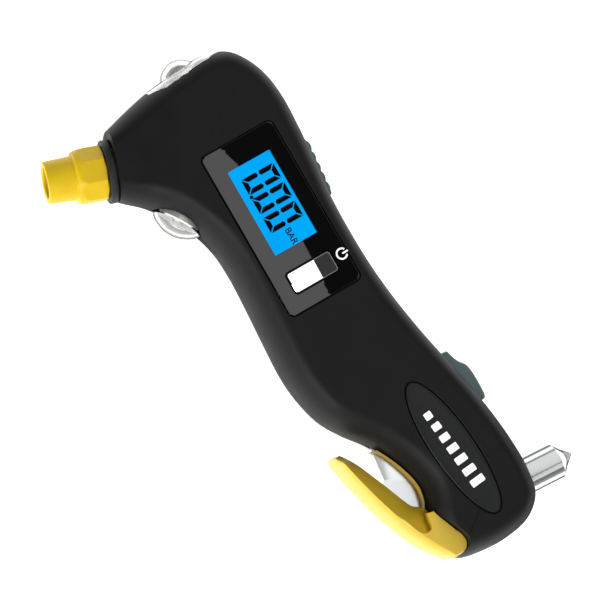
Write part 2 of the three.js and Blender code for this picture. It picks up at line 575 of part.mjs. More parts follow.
// ---- power ----
const bayAim = new THREE.Vector3(Math.sin(THREE.MathUtils.degToRad(bayTilt)), -Math.cos(THREE.MathUtils.degToRad(bayTilt)), 0);
const bayAcross = new THREE.Vector3(-bayAim.y, bayAim.x, 0);
[-1, 1].forEach((side, i) => {
  const start = new THREE.Vector3(bayTop.x, bayTop.y, cellZ).addScaledVector(bayAcross, side * (cellRadius + 0.2));
  const cellProfile = [[0, 0], [4.7, 0], [cellRadius, 0.5], [cellRadius, 42], [4.6, 42.5], [1.9, 42.5], [1.9, cellLength], [0, cellLength]];
  const from = side < 0 ? start : start.clone().addScaledVector(bayAim, cellLength);
  addPiece(`cell_${i + 1}`, turned(cellProfile, from, side < 0 ? bayAim : bayAim.clone().negate(), 24), 'cell');
});
function contact(name, offset) {
  const middle = new THREE.Vector3(bayTop.x, bayTop.y, 0).addScaledVector(bayAim, offset);
  addPiece(name, plate(19, 0.6, 0.2, middle.x, middle.y, 4.6, 13.4, bayTilt), 'steel');
}
contact('contact_upper', -0.9);
contact('contact_lower', cellLength + 0.9);
screwSpots.forEach(([x, y], i) => {
  const foot = new THREE.Vector3(x, y, 0);
  addPiece(`shell_screw_${i + 1}`, turned([[0, 1.2], [2.5, 1.2], [2.5, 2.9], [1.1, 3.1], [1.1, 20], [0, 21.2]], foot, upZ, 14), 'steel');
});

export default root;
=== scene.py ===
import math

import bmesh
import bpy
import numpy as np
from mathutils import Matrix, Vector


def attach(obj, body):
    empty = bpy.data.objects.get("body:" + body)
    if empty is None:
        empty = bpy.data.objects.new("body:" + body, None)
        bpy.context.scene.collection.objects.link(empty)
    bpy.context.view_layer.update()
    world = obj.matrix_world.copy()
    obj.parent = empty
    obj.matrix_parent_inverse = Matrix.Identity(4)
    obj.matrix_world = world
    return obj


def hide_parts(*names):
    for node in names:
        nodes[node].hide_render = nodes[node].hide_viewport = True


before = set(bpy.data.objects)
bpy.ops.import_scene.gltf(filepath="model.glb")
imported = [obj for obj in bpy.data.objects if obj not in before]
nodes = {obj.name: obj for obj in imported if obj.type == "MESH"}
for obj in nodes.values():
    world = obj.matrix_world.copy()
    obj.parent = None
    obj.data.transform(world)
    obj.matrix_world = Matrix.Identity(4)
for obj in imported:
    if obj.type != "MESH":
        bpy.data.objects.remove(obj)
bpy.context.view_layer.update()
scene = bpy.context.scene
mm = 0.001
midZ = 14.0

# camera
cameraSet = {"tilt": 13.0, "roll": 30.0, "aim": (-3.12, -29.9, 14.0), "frameWidth": 171.4, "lens": 200.0,
             "sensor": 36.0}


def makeCamera(c):
    tilt, roll = math.radians(c["tilt"]), math.radians(c["roll"])
    back = Vector((-math.sin(tilt), 0, math.cos(tilt)))
    across = Vector((math.cos(tilt), 0, math.sin(tilt)))
    along = Vector((0, 1, 0))
    right = across * math.cos(roll) - along * math.sin(roll)
    up = across * math.sin(roll) + along * math.cos(roll)
    distance = c["frameWidth"] * c["lens"] / c["sensor"] * mm
    place = Vector(c["aim"]) * mm + back * distance
    data = bpy.data.cameras.new("camera")
    data.lens, data.sensor_width, data.clip_start, data.clip_end = c["lens"], c["sensor"], 0.01, 20.0
    camera = bpy.data.objects.new("camera", data)
    scene.collection.objects.link(camera)
    camera.matrix_world = Matrix((right, up, back)).transposed().to_4x4()
    camera.location = place
    scene.camera = camera
    return place


eye = makeCamera(cameraSet)
print("camera ready")


# materials
def toLinear(hexColour):
    parts = [int(hexColour[i:i + 2], 16) / 255 for i in (1, 3, 5)]
    return tuple(p / 12.92 if p <= 0.04045 else ((p + 0.055) / 1.055) ** 2.4 for p in parts) + (1.0,)


def addNode(tree, kind, settings=None, links=None):
    node = tree.nodes.new(kind)
    for key, value in (settings or {}).items():
        if key.startswith("."):
            setattr(node, key[1:], value)
        else:
            node.inputs[int(key) if key.isdigit() else key].default_value = value
    for key, source in (links or {}).items():
        tree.links.new(source, node.inputs[int(key) if key.isdigit() else key])
    return node


def startMaterial(name, settings):
    material = bpy.data.materials.new(name)
    material.use_nodes = True
    tree = material.node_tree
    tree.nodes.clear()
    shader = addNode(tree, "ShaderNodeBsdfPrincipled", settings)
    addNode(tree, "ShaderNodeOutputMaterial", links={"Surface": shader.outputs[0]})
    place = addNode(tree, "ShaderNodeTexCoord").outputs["Object"]
    return material, tree, shader, place


def grain(tree, place, sizeMm, detail=2.0, rough=0.5):    # noise whose lumps are sizeMm across
    return addNode(tree, "ShaderNodeTexNoise",
                   {"Scale": 1 / (sizeMm * mm), "Detail": detail, "Roughness": rough}, {"Vector": place})


def spread(tree, source, low, high):    # maps 0..1 noise to a roughness range
    return addNode(tree, "ShaderNodeMapRange",
                   {"From Min": 0.3, "From Max": 0.7, "To Min": low, "To Max": high},
                   {"Value": source}).outputs[0]


def tint(tree, factor, dark, light):
    ramp = addNode(tree, "ShaderNodeValToRGB", links={"Fac": factor})
    ramp.color_ramp.elements[0].color = toLinear(dark)
    ramp.color_ramp.elements[1].color = toLinear(light)
    ramp.color_ramp.elements[0].position, ramp.color_ramp.elements[1].position = 0.3, 0.7
    return ramp.outputs[0]


def bump(tree, shader, height, depthMm, strength=1.0):
    node = addNode(tree, "ShaderNodeBump", {"Strength": strength, "Distance": depthMm * mm},
                   {"Height": height})
    tree.links.new(node.outputs[0], shader.inputs["Normal"])


def moulded(name, look):    # any moulded plastic or rubber: two near tints, a fine grain and uneven gloss
    settings = {"IOR": look["ior"], "Specular IOR Level": look.get("specular", 0.5)}
    settings.update(look.get("extra", {}))
    material, tree, shader, place = startMaterial(name, settings)
    cloud = grain(tree, place, look["cloudMm"], 3.0)
    grit = grain(tree, place, look["gritMm"], 2.0)
    tree.links.new(tint(tree, cloud.outputs["Fac"], look["dark"], look["light"]), shader.inputs["Base Color"])
    tree.links.new(spread(tree, cloud.outputs["Fac"], *look["roughness"]), shader.inputs["Roughness"])
    bump(tree, shader, grit.outputs["Fac"], look["gritDepthMm"], look.get("bump", 0.5))
    return material


# soft-touch paint over moulded ABS: a velvety black with a fine even grit and a wide dim shine
softTouchAbs = moulded("softTouchAbs", {"dark": "#191919", "light": "#1c1c1c", "ior": 1.42, "specular": 0.14,
                                        "roughness": (0.46, 0.54), "cloudMm": 9.0, "gritMm": 0.35,
                                        "gritDepthMm": 0.012, "bump": 0.5})
# satin moulded ABS of the oval: smoother than the paint round it, so it shows a clearer shine
satinAbs = moulded("satinAbs", {"dark": "#151617", "light": "#191a1b", "ior": 1.5, "specular": 0.24,
                                "roughness": (0.36, 0.42), "cloudMm": 7.0, "gritMm": 0.5,
                                "gritDepthMm": 0.006, "bump": 0.4})
# back-printed acrylic window: a wet black with sharp reflections and almost no texture
printedAcrylic = moulded("printedAcrylic", {"dark": "#060606", "light": "#080808", "ior": 1.49,
                                            "roughness": (0.008, 0.014), "cloudMm": 12.0, "gritMm": 6.0,
                                            "gritDepthMm": 0.0001, "bump": 0.1})
# yellow nylon nozzle: injection moulded, a warm waxy yellow that lets a little light in
nylon = moulded("nylon", {"dark": "#dfba04", "light": "#e6c30a", "ior": 1.53, "specular": 0.3,
                          "roughness": (0.40, 0.48), "cloudMm": 6.0, "gritMm": 0.45, "gritDepthMm": 0.01,
                          "bump": 0.4, "extra": {"Subsurface Weight": 0.12, "Subsurface Scale": 0.0012}})
# yellow ABS guard: a paler, glossier yellow
yellowAbs = moulded("yellowAbs", {"dark": "#d9b62a", "light": "#dfbd33", "ior": 1.52, "specular": 0.5,
                                  "roughness": (0.30, 0.38), "cloudMm": 8.0, "gritMm": 0.6,
                                  "gritDepthMm": 0.008, "bump": 0.35,
                                  "extra": {"Subsurface Weight": 0.10, "Subsurface Scale": 0.0010}})
# moulded nitrile collar: a dull blue-black
nitrile = moulded("nitrile", {"dark": "#131618", "light": "#1a1d1f", "ior": 1.5, "specular": 0.4,
                              "roughness": (0.5, 0.6), "cloudMm": 3.0, "gritMm": 0.3, "gritDepthMm": 0.012})
# slate elastomer of the spine keys: matt, slightly dusty blue-grey
elastomer = moulded("elastomer", {"dark": "#5c6f70", "light": "#65797b", "ior": 1.45, "specular": 0.35,
                                  "roughness": (0.55, 0.65), "cloudMm": 4.0, "gritMm": 0.3,
                                  "gritDepthMm": 0.015})
# white ABS lamp seat: bright and smooth
whiteAbs = moulded("whiteAbs", {"dark": "#e6e6e0", "light": "#f0f0ec", "ior": 1.5, "roughness": (0.35, 0.42),
                                "cloudMm": 3.0, "gritMm": 0.4, "gritDepthMm": 0.005})
# acrylic diffuser behind the display: milky
milkAcrylic = moulded("milkAcrylic", {"dark": "#dfe6ea", "light": "#eef3f5", "ior": 1.49,
                                      "roughness": (0.45, 0.55), "cloudMm": 4.0, "gritMm": 0.4,
                                      "gritDepthMm": 0.004})
# black epoxy of chips and switches: fine matt pitting
epoxy = moulded("epoxy", {"dark": "#121314", "light": "#1a1b1c", "ior": 1.55, "roughness": (0.5, 0.62),
                          "cloudMm": 2.0, "gritMm": 0.15, "gritDepthMm": 0.01})
# screen-printed white ink: flat and slightly uneven, with a painted glow from a faint white emission, so it
# shows brighter than the light on it
whiteInkPaintedGlow = moulded("whiteInkPaintedGlow", {"dark": "#f2f2f2", "light": "#fbfbfb", "ior": 1.5, "roughness": (0.5, 0.6),
                                "cloudMm": 2.0, "gritMm": 0.2, "gritDepthMm": 0.002,
                                "extra": {"Emission Color": toLinear("#ffffff"), "Emission Strength": 0.25}})


def turnedMetal(name, look):    # lathe-turned metal: fine rings round the axis stretch the shine
    material, tree, shader, place = startMaterial(name, {"Metallic": 1.0, "Anisotropic": look["anisotropy"]})
    rings = addNode(tree, "ShaderNodeVectorMath", {".operation": "DOT_PRODUCT", "1": look["axis"]},
                    {"0": place})
    feed = addNode(tree, "ShaderNodeCombineXYZ", links={"X": rings.outputs["Value"]})
    lines = grain(tree, feed.outputs[0], look["feedMm"], 3.0, 0.6)
    cloud = grain(tree, place, 12.0, 1.0)
    tree.links.new(tint(tree, cloud.outputs["Fac"], look["dark"], look["light"]), shader.inputs["Base Color"])
    tree.links.new(spread(tree, lines.outputs["Fac"], *look["roughness"]), shader.inputs["Roughness"])
    bump(tree, shader, lines.outputs["Fac"], look["depthMm"], 0.35)
    return material


hammerAim = Vector((math.cos(math.radians(-4.1)), math.sin(math.radians(-4.1)), 0))
nozzleAim = Vector((-math.cos(math.radians(18.8)), math.sin(math.radians(18.8)), 0))
# nickel-plated turned steel: bright, with faint rings from the lathe
platedSteel = turnedMetal("platedSteel", {"axis": tuple(hammerAim), "feedMm": 0.25, "depthMm": 0.004,
                                          "dark": "#e2e4e5", "light": "#e8e9ea", "roughness": (0.13, 0.17),
                                          "anisotropy": 0.3})
# hardened steel point: darker and polished
hardSteel = turnedMetal("hardSteel", {"axis": tuple(hammerAim), "feedMm": 0.2, "depthMm": 0.003,
                                      "dark": "#8a8d90", "light": "#a4a7aa", "roughness": (0.15, 0.22),
                                      "anisotropy": 0.2})
# turned brass pin
brass = turnedMetal("brass", {"axis": tuple(nozzleAim), "feedMm": 0.15, "depthMm": 0.003, "dark": "#b8913f",
                              "light": "#c9a252", "roughness": (0.22, 0.32), "anisotropy": 0.2})
# zinc-plated screws
zincPlate = turnedMetal("zincPlate", {"axis": (0, 0, 1), "feedMm": 0.12, "depthMm": 0.003, "dark": "#a9adb0",
                                      "light": "#c0c3c6", "roughness": (0.28, 0.38), "anisotropy": 0.2})


def makeGroundSteel():    # ground blade steel: long straight scratches across the edge
    material, tree, shader, place = startMaterial("groundSteel", {"Metallic": 1.0})
    stretched = addNode(tree, "ShaderNodeMapping", {"Scale": (1.0, 14.0, 1.0)}, {"Vector": place})
    lines = grain(tree, stretched.outputs[0], 1.6, 4.0, 0.6)
    cloud = grain(tree, place, 6.0, 2.0)
    tree.links.new(tint(tree, cloud.outputs["Fac"], "#dde2e3", "#e6e9e9"), shader.inputs["Base Color"])
    tree.links.new(spread(tree, lines.outputs["Fac"], 0.30, 0.34), shader.inputs["Roughness"])
    bump(tree, shader, lines.outputs["Fac"], 0.0004, 0.1)
    return material


groundSteel = makeGroundSteel()


def makeMirrorFoil():    # vacuum-metallised ABS: a mirror with a faint moulding ripple
    material, tree, shader, place = startMaterial("metallisedAbs", {"Metallic": 1.0})
    ripple = grain(tree, place, 4.0, 1.0)
    tree.links.new(tint(tree, ripple.outputs["Fac"], "#e4e6e8", "#ececee"), shader.inputs["Base Color"])
    tree.links.new(spread(tree, ripple.outputs["Fac"], 0.003, 0.006), shader.inputs["Roughness"])
    bump(tree, shader, ripple.outputs["Fac"], 0.0001, 0.1)
    return material


metallisedAbs = makeMirrorFoil()


def makeClear(name, look):    # clear moulded lens: sharp glints, with a very faint flow ripple
    material, tree, shader, place = startMaterial(name, {"Transmission Weight": 1.0, "IOR": look["ior"],
                                                         "Base Color": toLinear(look["colour"])})
    ripple = grain(tree, place, look["rippleMm"], 2.0)
    tree.links.new(spread(tree, ripple.outputs["Fac"], *look["roughness"]), shader.inputs["Roughness"])
    bump(tree, shader, ripple.outputs["Fac"], look["rippleDepthMm"], 0.4)
    return material


# clear polycarbonate lamp lenses
polycarbonate = makeClear("polycarbonate", {"ior": 1.58, "colour": "#f4f5f3", "rippleMm": 2.2,
                                            "rippleDepthMm": 0.01, "roughness": (0.02, 0.05)})
# clear epoxy of the LEDs
ledEpoxy = makeClear("ledEpoxy", {"ior": 1.52, "colour": "#eef1f4", "rippleMm": 1.0, "rippleDepthMm": 0.004,
                                  "roughness": (0.03, 0.06)})


def makeLit():    # backlit liquid-crystal cell: an even bright blue, very faintly clouded
    material, tree, shader, place = startMaterial("backlitCell", {
        "Base Color": (0, 0, 0, 1), "IOR": 1.5, "Specular IOR Level": 0.0, "Roughness": 0.3,
        "Emission Strength": 1.0})
    cloud = grain(tree, place, 9.0, 1.0)
    tree.links.new(tint(tree, cloud.outputs["Fac"], "#00a6fa", "#00acff"), shader.inputs["Emission Color"])
    return material


backlitCell = makeLit()
# liquid-crystal segments: a flat near-black
segmentInk = moulded("segmentInk", {"dark": "#020306", "light": "#030509", "ior": 1.5, "specular": 0.05,
                                    "roughness": (0.5, 0.6), "cloudMm": 3.0, "gritMm": 0.5,
                                    "gritDepthMm": 0.001})
unitInk = moulded("unitInk", {"dark": "#061c3c", "light": "#082246", "ior": 1.5, "specular": 0.05,
                              "roughness": (0.5, 0.6), "cloudMm": 3.0, "gritMm": 0.5, "gritDepthMm": 0.001})


def makeBoard():    # fibreglass board: solder mask over a woven cloth
    material, tree, shader, place = startMaterial("fibreglass", {"IOR": 1.55, "Roughness": 0.4})
    weave = addNode(tree, "ShaderNodeTexChecker", {"Scale": 1 / (0.8 * mm)}, {"Vector": place})
    tree.links.new(tint(tree, weave.outputs["Fac"], "#14532f", "#1a6138"), shader.inputs["Base Color"])
    bump(tree, shader, weave.outputs["Fac"], 0.01, 0.3)
    return material


fibreglass = makeBoard()
bayTilt = math.radians(16)
bayAim = Vector((math.sin(bayTilt), -math.cos(bayTilt), 0))
bayTop = Vector((1.5, -47.6, 0))
cellLength = 43.5


def makeSleeve():    # cell in its printed shrink sleeve, bare metal at the ends
    material, tree, shader, place = startMaterial("shrinkSleeve", {"IOR": 1.5})
    along = addNode(tree, "ShaderNodeVectorMath", {".operation": "DOT_PRODUCT", "1": tuple(bayAim)},
                    {"0": place})
    start = bayAim.dot(bayTop * mm)
    share = addNode(tree, "ShaderNodeMapRange", {"From Min": start, "From Max": start + cellLength * mm},
                    {"Value": along.outputs["Value"]})
    ramp = addNode(tree, "ShaderNodeValToRGB", links={"Fac": share.outputs[0]})
    ramp.color_ramp.interpolation = "CONSTANT"
    ramp.color_ramp.elements[0].color = toLinear("#c4c6c8")
    ramp.color_ramp.elements[1].color = toLinear("#c4c6c8")
    ramp.color_ramp.elements[1].position = 0.965
    for position, colour in ((0.02, "#24486e"), (0.72, "#c8913a")):
        ramp.color_ramp.elements.new(position).color = toLinear(colour)
    tree.links.new(ramp.outputs[0], shader.inputs["Base Color"])
    wear = grain(tree, place, 2.0, 3.0)
    tree.links.new(spread(tree, wear.outputs["Fac"], 0.22, 0.38), shader.inputs["Roughness"])
    bump(tree, shader, wear.outputs["Fac"], 0.01, 0.2)
    return material


shrinkSleeve = makeSleeve()
print("materials ready")


# mesh tools
def newMesh(name, points, faces):
    mesh = bpy.data.meshes.new(name)
    mesh.from_pydata([(x * mm, y * mm, z * mm) for x, y, z in points], [], faces)
    mesh.validate()
    piece = bpy.data.objects.new(name, mesh)
    scene.collection.objects.link(piece)
    return piece


def settle(piece):    # turns the piece's modifiers into its mesh
    graph = bpy.context.evaluated_depsgraph_get()
    graph.update()
    made = bpy.data.meshes.new_from_object(piece.evaluated_get(graph))
    piece.modifiers.clear()
    piece.data = made
    return piece


def combine(piece, tool, how="DIFFERENCE", keepTool=False):
    modifier = piece.modifiers.new("combine", "BOOLEAN")
    modifier.operation, modifier.object, modifier.solver = how, tool, "MANIFOLD"
    settle(piece)
    if not keepTool:
        bpy.data.objects.remove(tool)
    return piece


def zipCap(ring, first, last):    # fills a long outline by lacing its two sides together
    total = len(ring)
    near = [(first + k) % total for k in range((last - first) % total + 1)]
    far = [(first - k) % total for k in range(1, (first - last) % total)]
    i, j, made = 0, 0, []
    while i < len(near) - 1 or j < len(far) - 1:
        stepNear = math.dist(ring[near[i + 1]], ring[far[j]]) if i < len(near) - 1 else 1e9
        stepFar = math.dist(ring[near[i]], ring[far[j + 1]]) if j < len(far) - 1 else 1e9
        if stepNear <= stepFar:
            made.append((near[i], near[i + 1], far[j]))
            i += 1
        else:
            made.append((near[i], far[j + 1], far[j]))
            j += 1
    return made


def ringSolid(name, rings, lace=None):    # skins a stack of rings and caps both ends
    count = len(rings[0])
    points = [tuple(p) for ring in rings for p in ring]
    faces = []
    for r in range(len(rings) - 1):
        for i in range(count):
            a, b = r * count + i, r * count + (i + 1) % count
            faces.append((a, b, b + count, a + count))
    last = (len(rings) - 1) * count
    if lace:
        faces += [(c, b, a) for a, b, c in zipCap(rings[0], *lace)]
        faces += [(last + a, last + b, last + c) for a, b, c in zipCap(rings[-1], *lace)]
    else:
        faces.append(tuple(reversed(range(count))))
        faces.append(tuple(range(last, last + count)))
    return faceOut(newMesh(name, points, faces))


def faceOut(piece):
    work = bmesh.new()
    work.from_mesh(piece.data)
    bmesh.ops.triangulate(work, faces=[f for f in work.faces if len(f.verts) > 4])
    bmesh.ops.recalc_face_normals(work, faces=work.faces)
    if work.calc_volume(signed=True) < 0:
        bmesh.ops.reverse_faces(work, faces=work.faces)
    work.to_mesh(piece.data)
    work.free()
    return piece


def sideAxes(aim):
    aim = Vector(aim).normalized()
    first = Vector((0, 0, 1)) if abs(aim.z) < 0.9 else Vector((1, 0, 0))
    first = (first - aim * first.dot(aim)).normalized()
    return first, aim.cross(first)


def turned(profile, base, aim, steps=64, shape=None):    # profile is (radius, distance) pairs
    aim, base = Vector(aim).normalized(), Vector(base)
    first, second = sideAxes(aim)
    rings = []
    for radius, distance in profile:
        ring = []
        for i in range(steps):
            angle = 2 * math.pi * i / steps
            r = max(shape(radius, distance, angle) if shape else radius, 0.004)
            ring.append(base + aim * distance + (first * math.cos(angle) + second * math.sin(angle)) * r)
        rings.append(ring)
    return rings


def turnedSolid(name, profile, base, aim, steps=64, shape=None):
    return ringSolid(name, turned(profile, base, aim, steps, shape))


def turnedTube(name, profile, base, aim, steps=64):    # the profile closes on itself, as a washer's does
    rings = turned(profile, base, aim, steps)
    count, total = steps, len(rings)
    points = [tuple(p) for ring in rings for p in ring]
    faces = []
    for r in range(total):
        for i in range(count):
            a, b = r * count + i, r * count + (i + 1) % count
            c = ((r + 1) % total) * count
            faces.append((a, b, c + (i + 1) % count, c + i))
    return faceOut(newMesh(name, points, faces))


def rodTool(radius, t0, t1, base, aim, steps=64):
    return turnedSolid("tool", [(radius, t0), (radius, t1)], base, aim, steps)


def boxTool(x0, x1, y0, y1, z0, z1):
    ring = [(x0, y0), (x1, y0), (x1, y1), (x0, y1)]
    return flatSolid("tool", ring, z0, z1)


def roundedRect(width, height, radius, steps=8):
    points = []
    for cx, cy, start in ((1, -1, -90), (1, 1, 0), (-1, 1, 90), (-1, -1, 180)):
        for i in range(steps + 1):
            angle = math.radians(start + 90 * i / steps)
            points.append((cx * (width / 2 - radius) + radius * math.cos(angle),
                           cy * (height / 2 - radius) + radius * math.sin(angle)))
    return points


def place2d(points, x, y, tilt=0.0):
    c, s = math.cos(math.radians(tilt)), math.sin(math.radians(tilt))
    return [(x + px * c - py * s, y + px * s + py * c) for px, py in points]


def grow2d(points, distance):    # moves an outline out along its normals
    total, moved = len(points), []
    for i, (x, y) in enumerate(points):
        ax, ay = points[i - 1]
        bx, by = points[(i + 1) % total]
        nx, ny = by - ay, ax - bx
        size = math.hypot(nx, ny) or 1.0
        moved.append((x + nx / size * distance, y + ny / size * distance))
    return moved


def flatSolid(name, ring, bottom, top):    # one outline in plan, from a lower to an upper level
    return ringSolid(name, [[(x, y, z) for x, y in ring] for z in (bottom, top)])


def slab(name, outline, levels):    # levels are (z, growth) pairs, so an edge can be rounded or flared
    return ringSolid(name, [[(x, y, z) for x, y in grow2d(outline, g)] for z, g in levels])


def roundedSlab(name, outline, z0, z1, edge, steps=4):
    levels = [(z0, 0.0)]
    for i in range(steps + 1):
        angle = math.pi / 2 * i / steps
        levels.append((z1 - edge + edge * math.sin(angle), -edge * (1 - math.cos(angle))))
    return slab(name, outline, levels)


def spline(knots, samples, closed=False):    # centripetal Catmull-Rom, spaced evenly by length
    pts = [np.array(k, float) for k in knots]
    total = len(pts)
    spans = total if closed else total - 1
    dense = []
    for s in range(spans):
        if closed:
            p0, p1, p2, p3 = pts[s - 1], pts[s], pts[(s + 1) % total], pts[(s + 2) % total]
        else:
            p1, p2 = pts[s], pts[s + 1]
            p0 = pts[s - 1] if s > 0 else p1 * 2 - p2
            p3 = pts[s + 2] if s + 2 < total else p2 * 2 - p1
        d0, d1, d2 = (max(np.linalg.norm(b - a) ** 0.5, 1e-4) for a, b in ((p0, p1), (p1, p2), (p2, p3)))
        t1 = ((p1 - p0) / d0 - (p2 - p0) / (d0 + d1) + (p2 - p1) / d1) * d1
        t2 = ((p2 - p1) / d1 - (p3 - p1) / (d1 + d2) + (p3 - p2) / d2) * d1
        for k in range(24):
            t = k / 24
            dense.append(p1 + t1 * t + (-3 * p1 + 3 * p2 - 2 * t1 - t2) * t * t
                         + (2 * p1 - 2 * p2 + t1 + t2) * t ** 3)
    dense.append(pts[0] if closed else pts[-1])
    dense = np.array(dense)
    length = np.concatenate([[0], np.cumsum(np.linalg.norm(np.diff(dense, axis=0), axis=1))])
    wanted = np.linspace(0, length[-1], samples + 1 if closed else samples)[:samples]
    return np.stack([np.interp(wanted, length, dense[:, k]) for k in range(dense.shape[1])], axis=1)


def smoothstep(a, b, v):
    t = min(1.0, max(0.0, (v - a) / (b - a)))
    return t * t * (3 - 2 * t)


def finishPiece(piece, material, body, standsFor=(), angle=32, weighted=False):
    piece.data.materials.clear()
    piece.data.materials.append(material)
    piece.data.shade_smooth()
    piece.data.set_sharp_from_angle(angle=math.radians(angle))
    if weighted:
        modifier = piece.modifiers.new("normals", "WEIGHTED_NORMAL")
        modifier.keep_sharp = True
    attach(piece, body)
    if standsFor:
        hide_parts(*standsFor)
    return piece


# the body's form
bodySet = {"half": 14.0, "run": 6.5, "wall": 2.0, "faceWall": 2.8, "samples": 432, "levels": 15}
nozzleBase = Vector((-34.1, 30.3, midZ))
neckRadius = 9.75
outlineKnots = [
    (-36.5, 38.3), (-28.6, 39.9), (-21, 42.0), (-12, 44.0), (-2, 45.1), (6, 45.5), (12.8, 43.2), (17.0, 38.0),
    (19.5, 31.5), (20.4, 24), (20.1, 15), (19.2, 4), (18.1, -7), (17.8, -17), (18.1, -29), (19.2, -40),
    (21.0, -51), (23.1, -61), (25.3, -71), (27.0, -81), (28.0, -91), (28.0, -100.5), (26.2, -108),
    (21.0, -112.6), (13, -114.3), (4.5, -113.9), (-1.8, -112.2), (-4.7, -108), (-5.0, -103), (-4.0, -98),
    (-2.2, -93.5), (-1.5, -89), (-2.7, -83.5), (-5.2, -77.5), (-8.4, -72), (-12.6, -66.6), (-16.5, -60),
    (-18.7, -51.5), (-19.35, -44), (-18.9, -34), (-18.1, -22), (-17.7, -12), (-18.3, -4), (-20.6, 3.5),
    (-24.6, 10.4), (-28.9, 16.0), (-33.6, 20.2), (-38.5, 25.5), (-42, 31.5), (-40.6, 36.2),
]
outline = spline(outlineKnots, bodySet["samples"], closed=True)
alongOutline = np.roll(outline, -1, axis=0) - np.roll(outline, 1, axis=0)
alongOutline /= np.linalg.norm(alongOutline, axis=1)[:, None]
inward = np.stack([alongOutline[:, 1], -alongOutline[:, 0]], axis=1)    # the outline runs clockwise


def alongNozzle(x, y):    # distance along the nozzle's axis from the collar, negative inside the body
    return (x - nozzleBase.x) * nozzleAim.x + (y - nozzleBase.y) * nozzleAim.y


def edgeRuns():    # how far the rounding reaches in, less where the outline turns tightly
    total, raw = len(outline), []
    stride = total // 96
    for i, (x, y) in enumerate(outline):
        before, after = inward[(i - stride) % total], inward[(i + stride) % total]
        turn = before[0] * after[1] - before[1] * after[0]
        arc = np.linalg.norm(outline[(i + stride) % total] - outline[(i - stride) % total])
        radius = arc / -turn if turn < -1e-4 else 1e3
        s = alongNozzle(x, y)
        atNeck = 9.0 + (bodySet["run"] - 9.0) * smoothstep(2.6, 22, -s)
        wanted = max(4.2, 9.0 - (s + 2.6) * 0.5) if s > -2.6 else atNeck
        raw.append(min(wanted if x < 0 and y > 5 else bodySet["run"], 0.78 * radius))
    raw = np.array(raw)
    reach = 3 * stride
    low = np.array([raw[np.arange(i - reach, i + reach + 1) % total].min() for i in range(total)])
    return np.array([low[np.arange(i - reach, i + reach + 1) % total].mean() for i in range(total)])


runs = edgeRuns()
lace = tuple(int(np.argmin(np.linalg.norm(outline - np.array(end), axis=1)))
             for end in ((4.5, -113.9), (-42, 31.5)))


def depthShare(x, y):
    if y <= 5:
        return 1.0
    atNeck = neckRadius / bodySet["half"]
    return atNeck + (1 - atNeck) * smoothstep(2.0, 24, -alongNozzle(x, y))


def formRings(sideIn, faceIn, angles, keepRight=None):
    rings = []
    for angle in angles:
        ring = []
        for (x, y), (nx, ny), run in zip(outline, inward, runs):
            inset = sideIn + max(0.6, run - sideIn * 0.35) * (1 - math.cos(angle))
            px, py = x + nx * inset, y + ny * inset
            if keepRight and -113 < py < -93.5:
                px = max(px, keepRight(py))
            half = bodySet["half"] * depthShare(px, py) - faceIn
            ring.append((px, py, midZ + half * math.sin(angle)))
        rings.append(ring)
    return rings


def fullForm(name, sideIn, faceIn, levels):
    angles = [math.pi / 2 * k / levels for k in range(-levels, levels + 1)]
    return ringSolid(name, formRings(sideIn, faceIn, angles), lace)


# guard curves, shared by the shells
guardOuter = spline([(-19.4, -70.6), (-18.9, -74), (-17.9, -80), (-16.0, -88), (-13.4, -96), (-9.8, -104),
                     (-6.9, -108.2), (-4.1, -111.2)], 120)
guardInner = spline([(-17.0, -70.6), (-15.9, -72), (-13.8, -75.5), (-11.8, -80), (-9.7, -85), (-7.7, -90),
                     (-6.2, -93), (-3.6, -95.2), (-2.4, -98.6), (-0.6, -103), (0.8, -107), (0.8, -108.9),
                     (-0.3, -110.4), (-1.8, -111.0), (-3.9, -111.2)], 160)


def xAt(curve, y):
    return float(np.interp(-y, -curve[:, 1], curve[:, 0]))


def shellHalf(name, side):    # one hollow half, parted at mid depth
    levels = bodySet["levels"]
    angles = [math.pi / 2 * k / levels for k in range(levels + 1)]
    outer = formRings(0, 0, [side * a for a in angles])
    inner = formRings(bodySet["wall"], bodySet["faceWall"], [side * a for a in angles[::3]],
                      keepRight=lambda y: xAt(guardInner, y) + 2.2)
    outer[0] = [(x, y, midZ + side * 0.15) for x, y, _ in outer[0]]
    inner[0] = [(x, y, midZ + side * 0.15) for x, y, _ in inner[0]]
    return ringSolid(name, list(reversed(outer)) + inner, lace)


def footTool(clear):
    ys = np.linspace(-95.1, -111.15, 40)
    right = [(xAt(guardInner, y) + clear * 1.05, y) for y in ys]
    ring = [(-40, -94.9 + clear), (right[0][0], -94.9 + clear)] + right
    ring += [(-2.6 + clear * 0.4, -111.2 - clear * 0.6), (-40, -111.2 - clear * 0.6)]
    return flatSolid("tool", ring, -2, 30)


bladeSlit = [(-8.4, -71.6), (-9.6, -82.9), (-13.2, -86.5), (-12.1, -93.5), (-7.8, -100.1), (-3.2, -99.2),
             (-0.3, -92.6), (-0.6, -87.6), (-2.0, -81.6), (-4.2, -75.8), (-6.0, -71.8)]
lampCentre = Vector((-23.4, 8.0, midZ))
lampAim = Vector((-0.846, -0.533, 0)).normalized()
hammerBase = Vector((14.5, -101.6, midZ))
triggerSet = {"x": 24.6, "y": -69.0, "tilt": 12.2, "length": 17.2, "half": 4.4}
screwSpots = [(-15.2, 34.6), (11.6, 33.2), (-12.0, -42.2), (12.6, -39.9), (8.4, -106.2)]
doorCentre = bayTop + bayAim * (cellLength / 2 + 1.4)
doorOutline = place2d(roundedRect(25, 49, 3.5), doorCentre.x, doorCentre.y, 16)


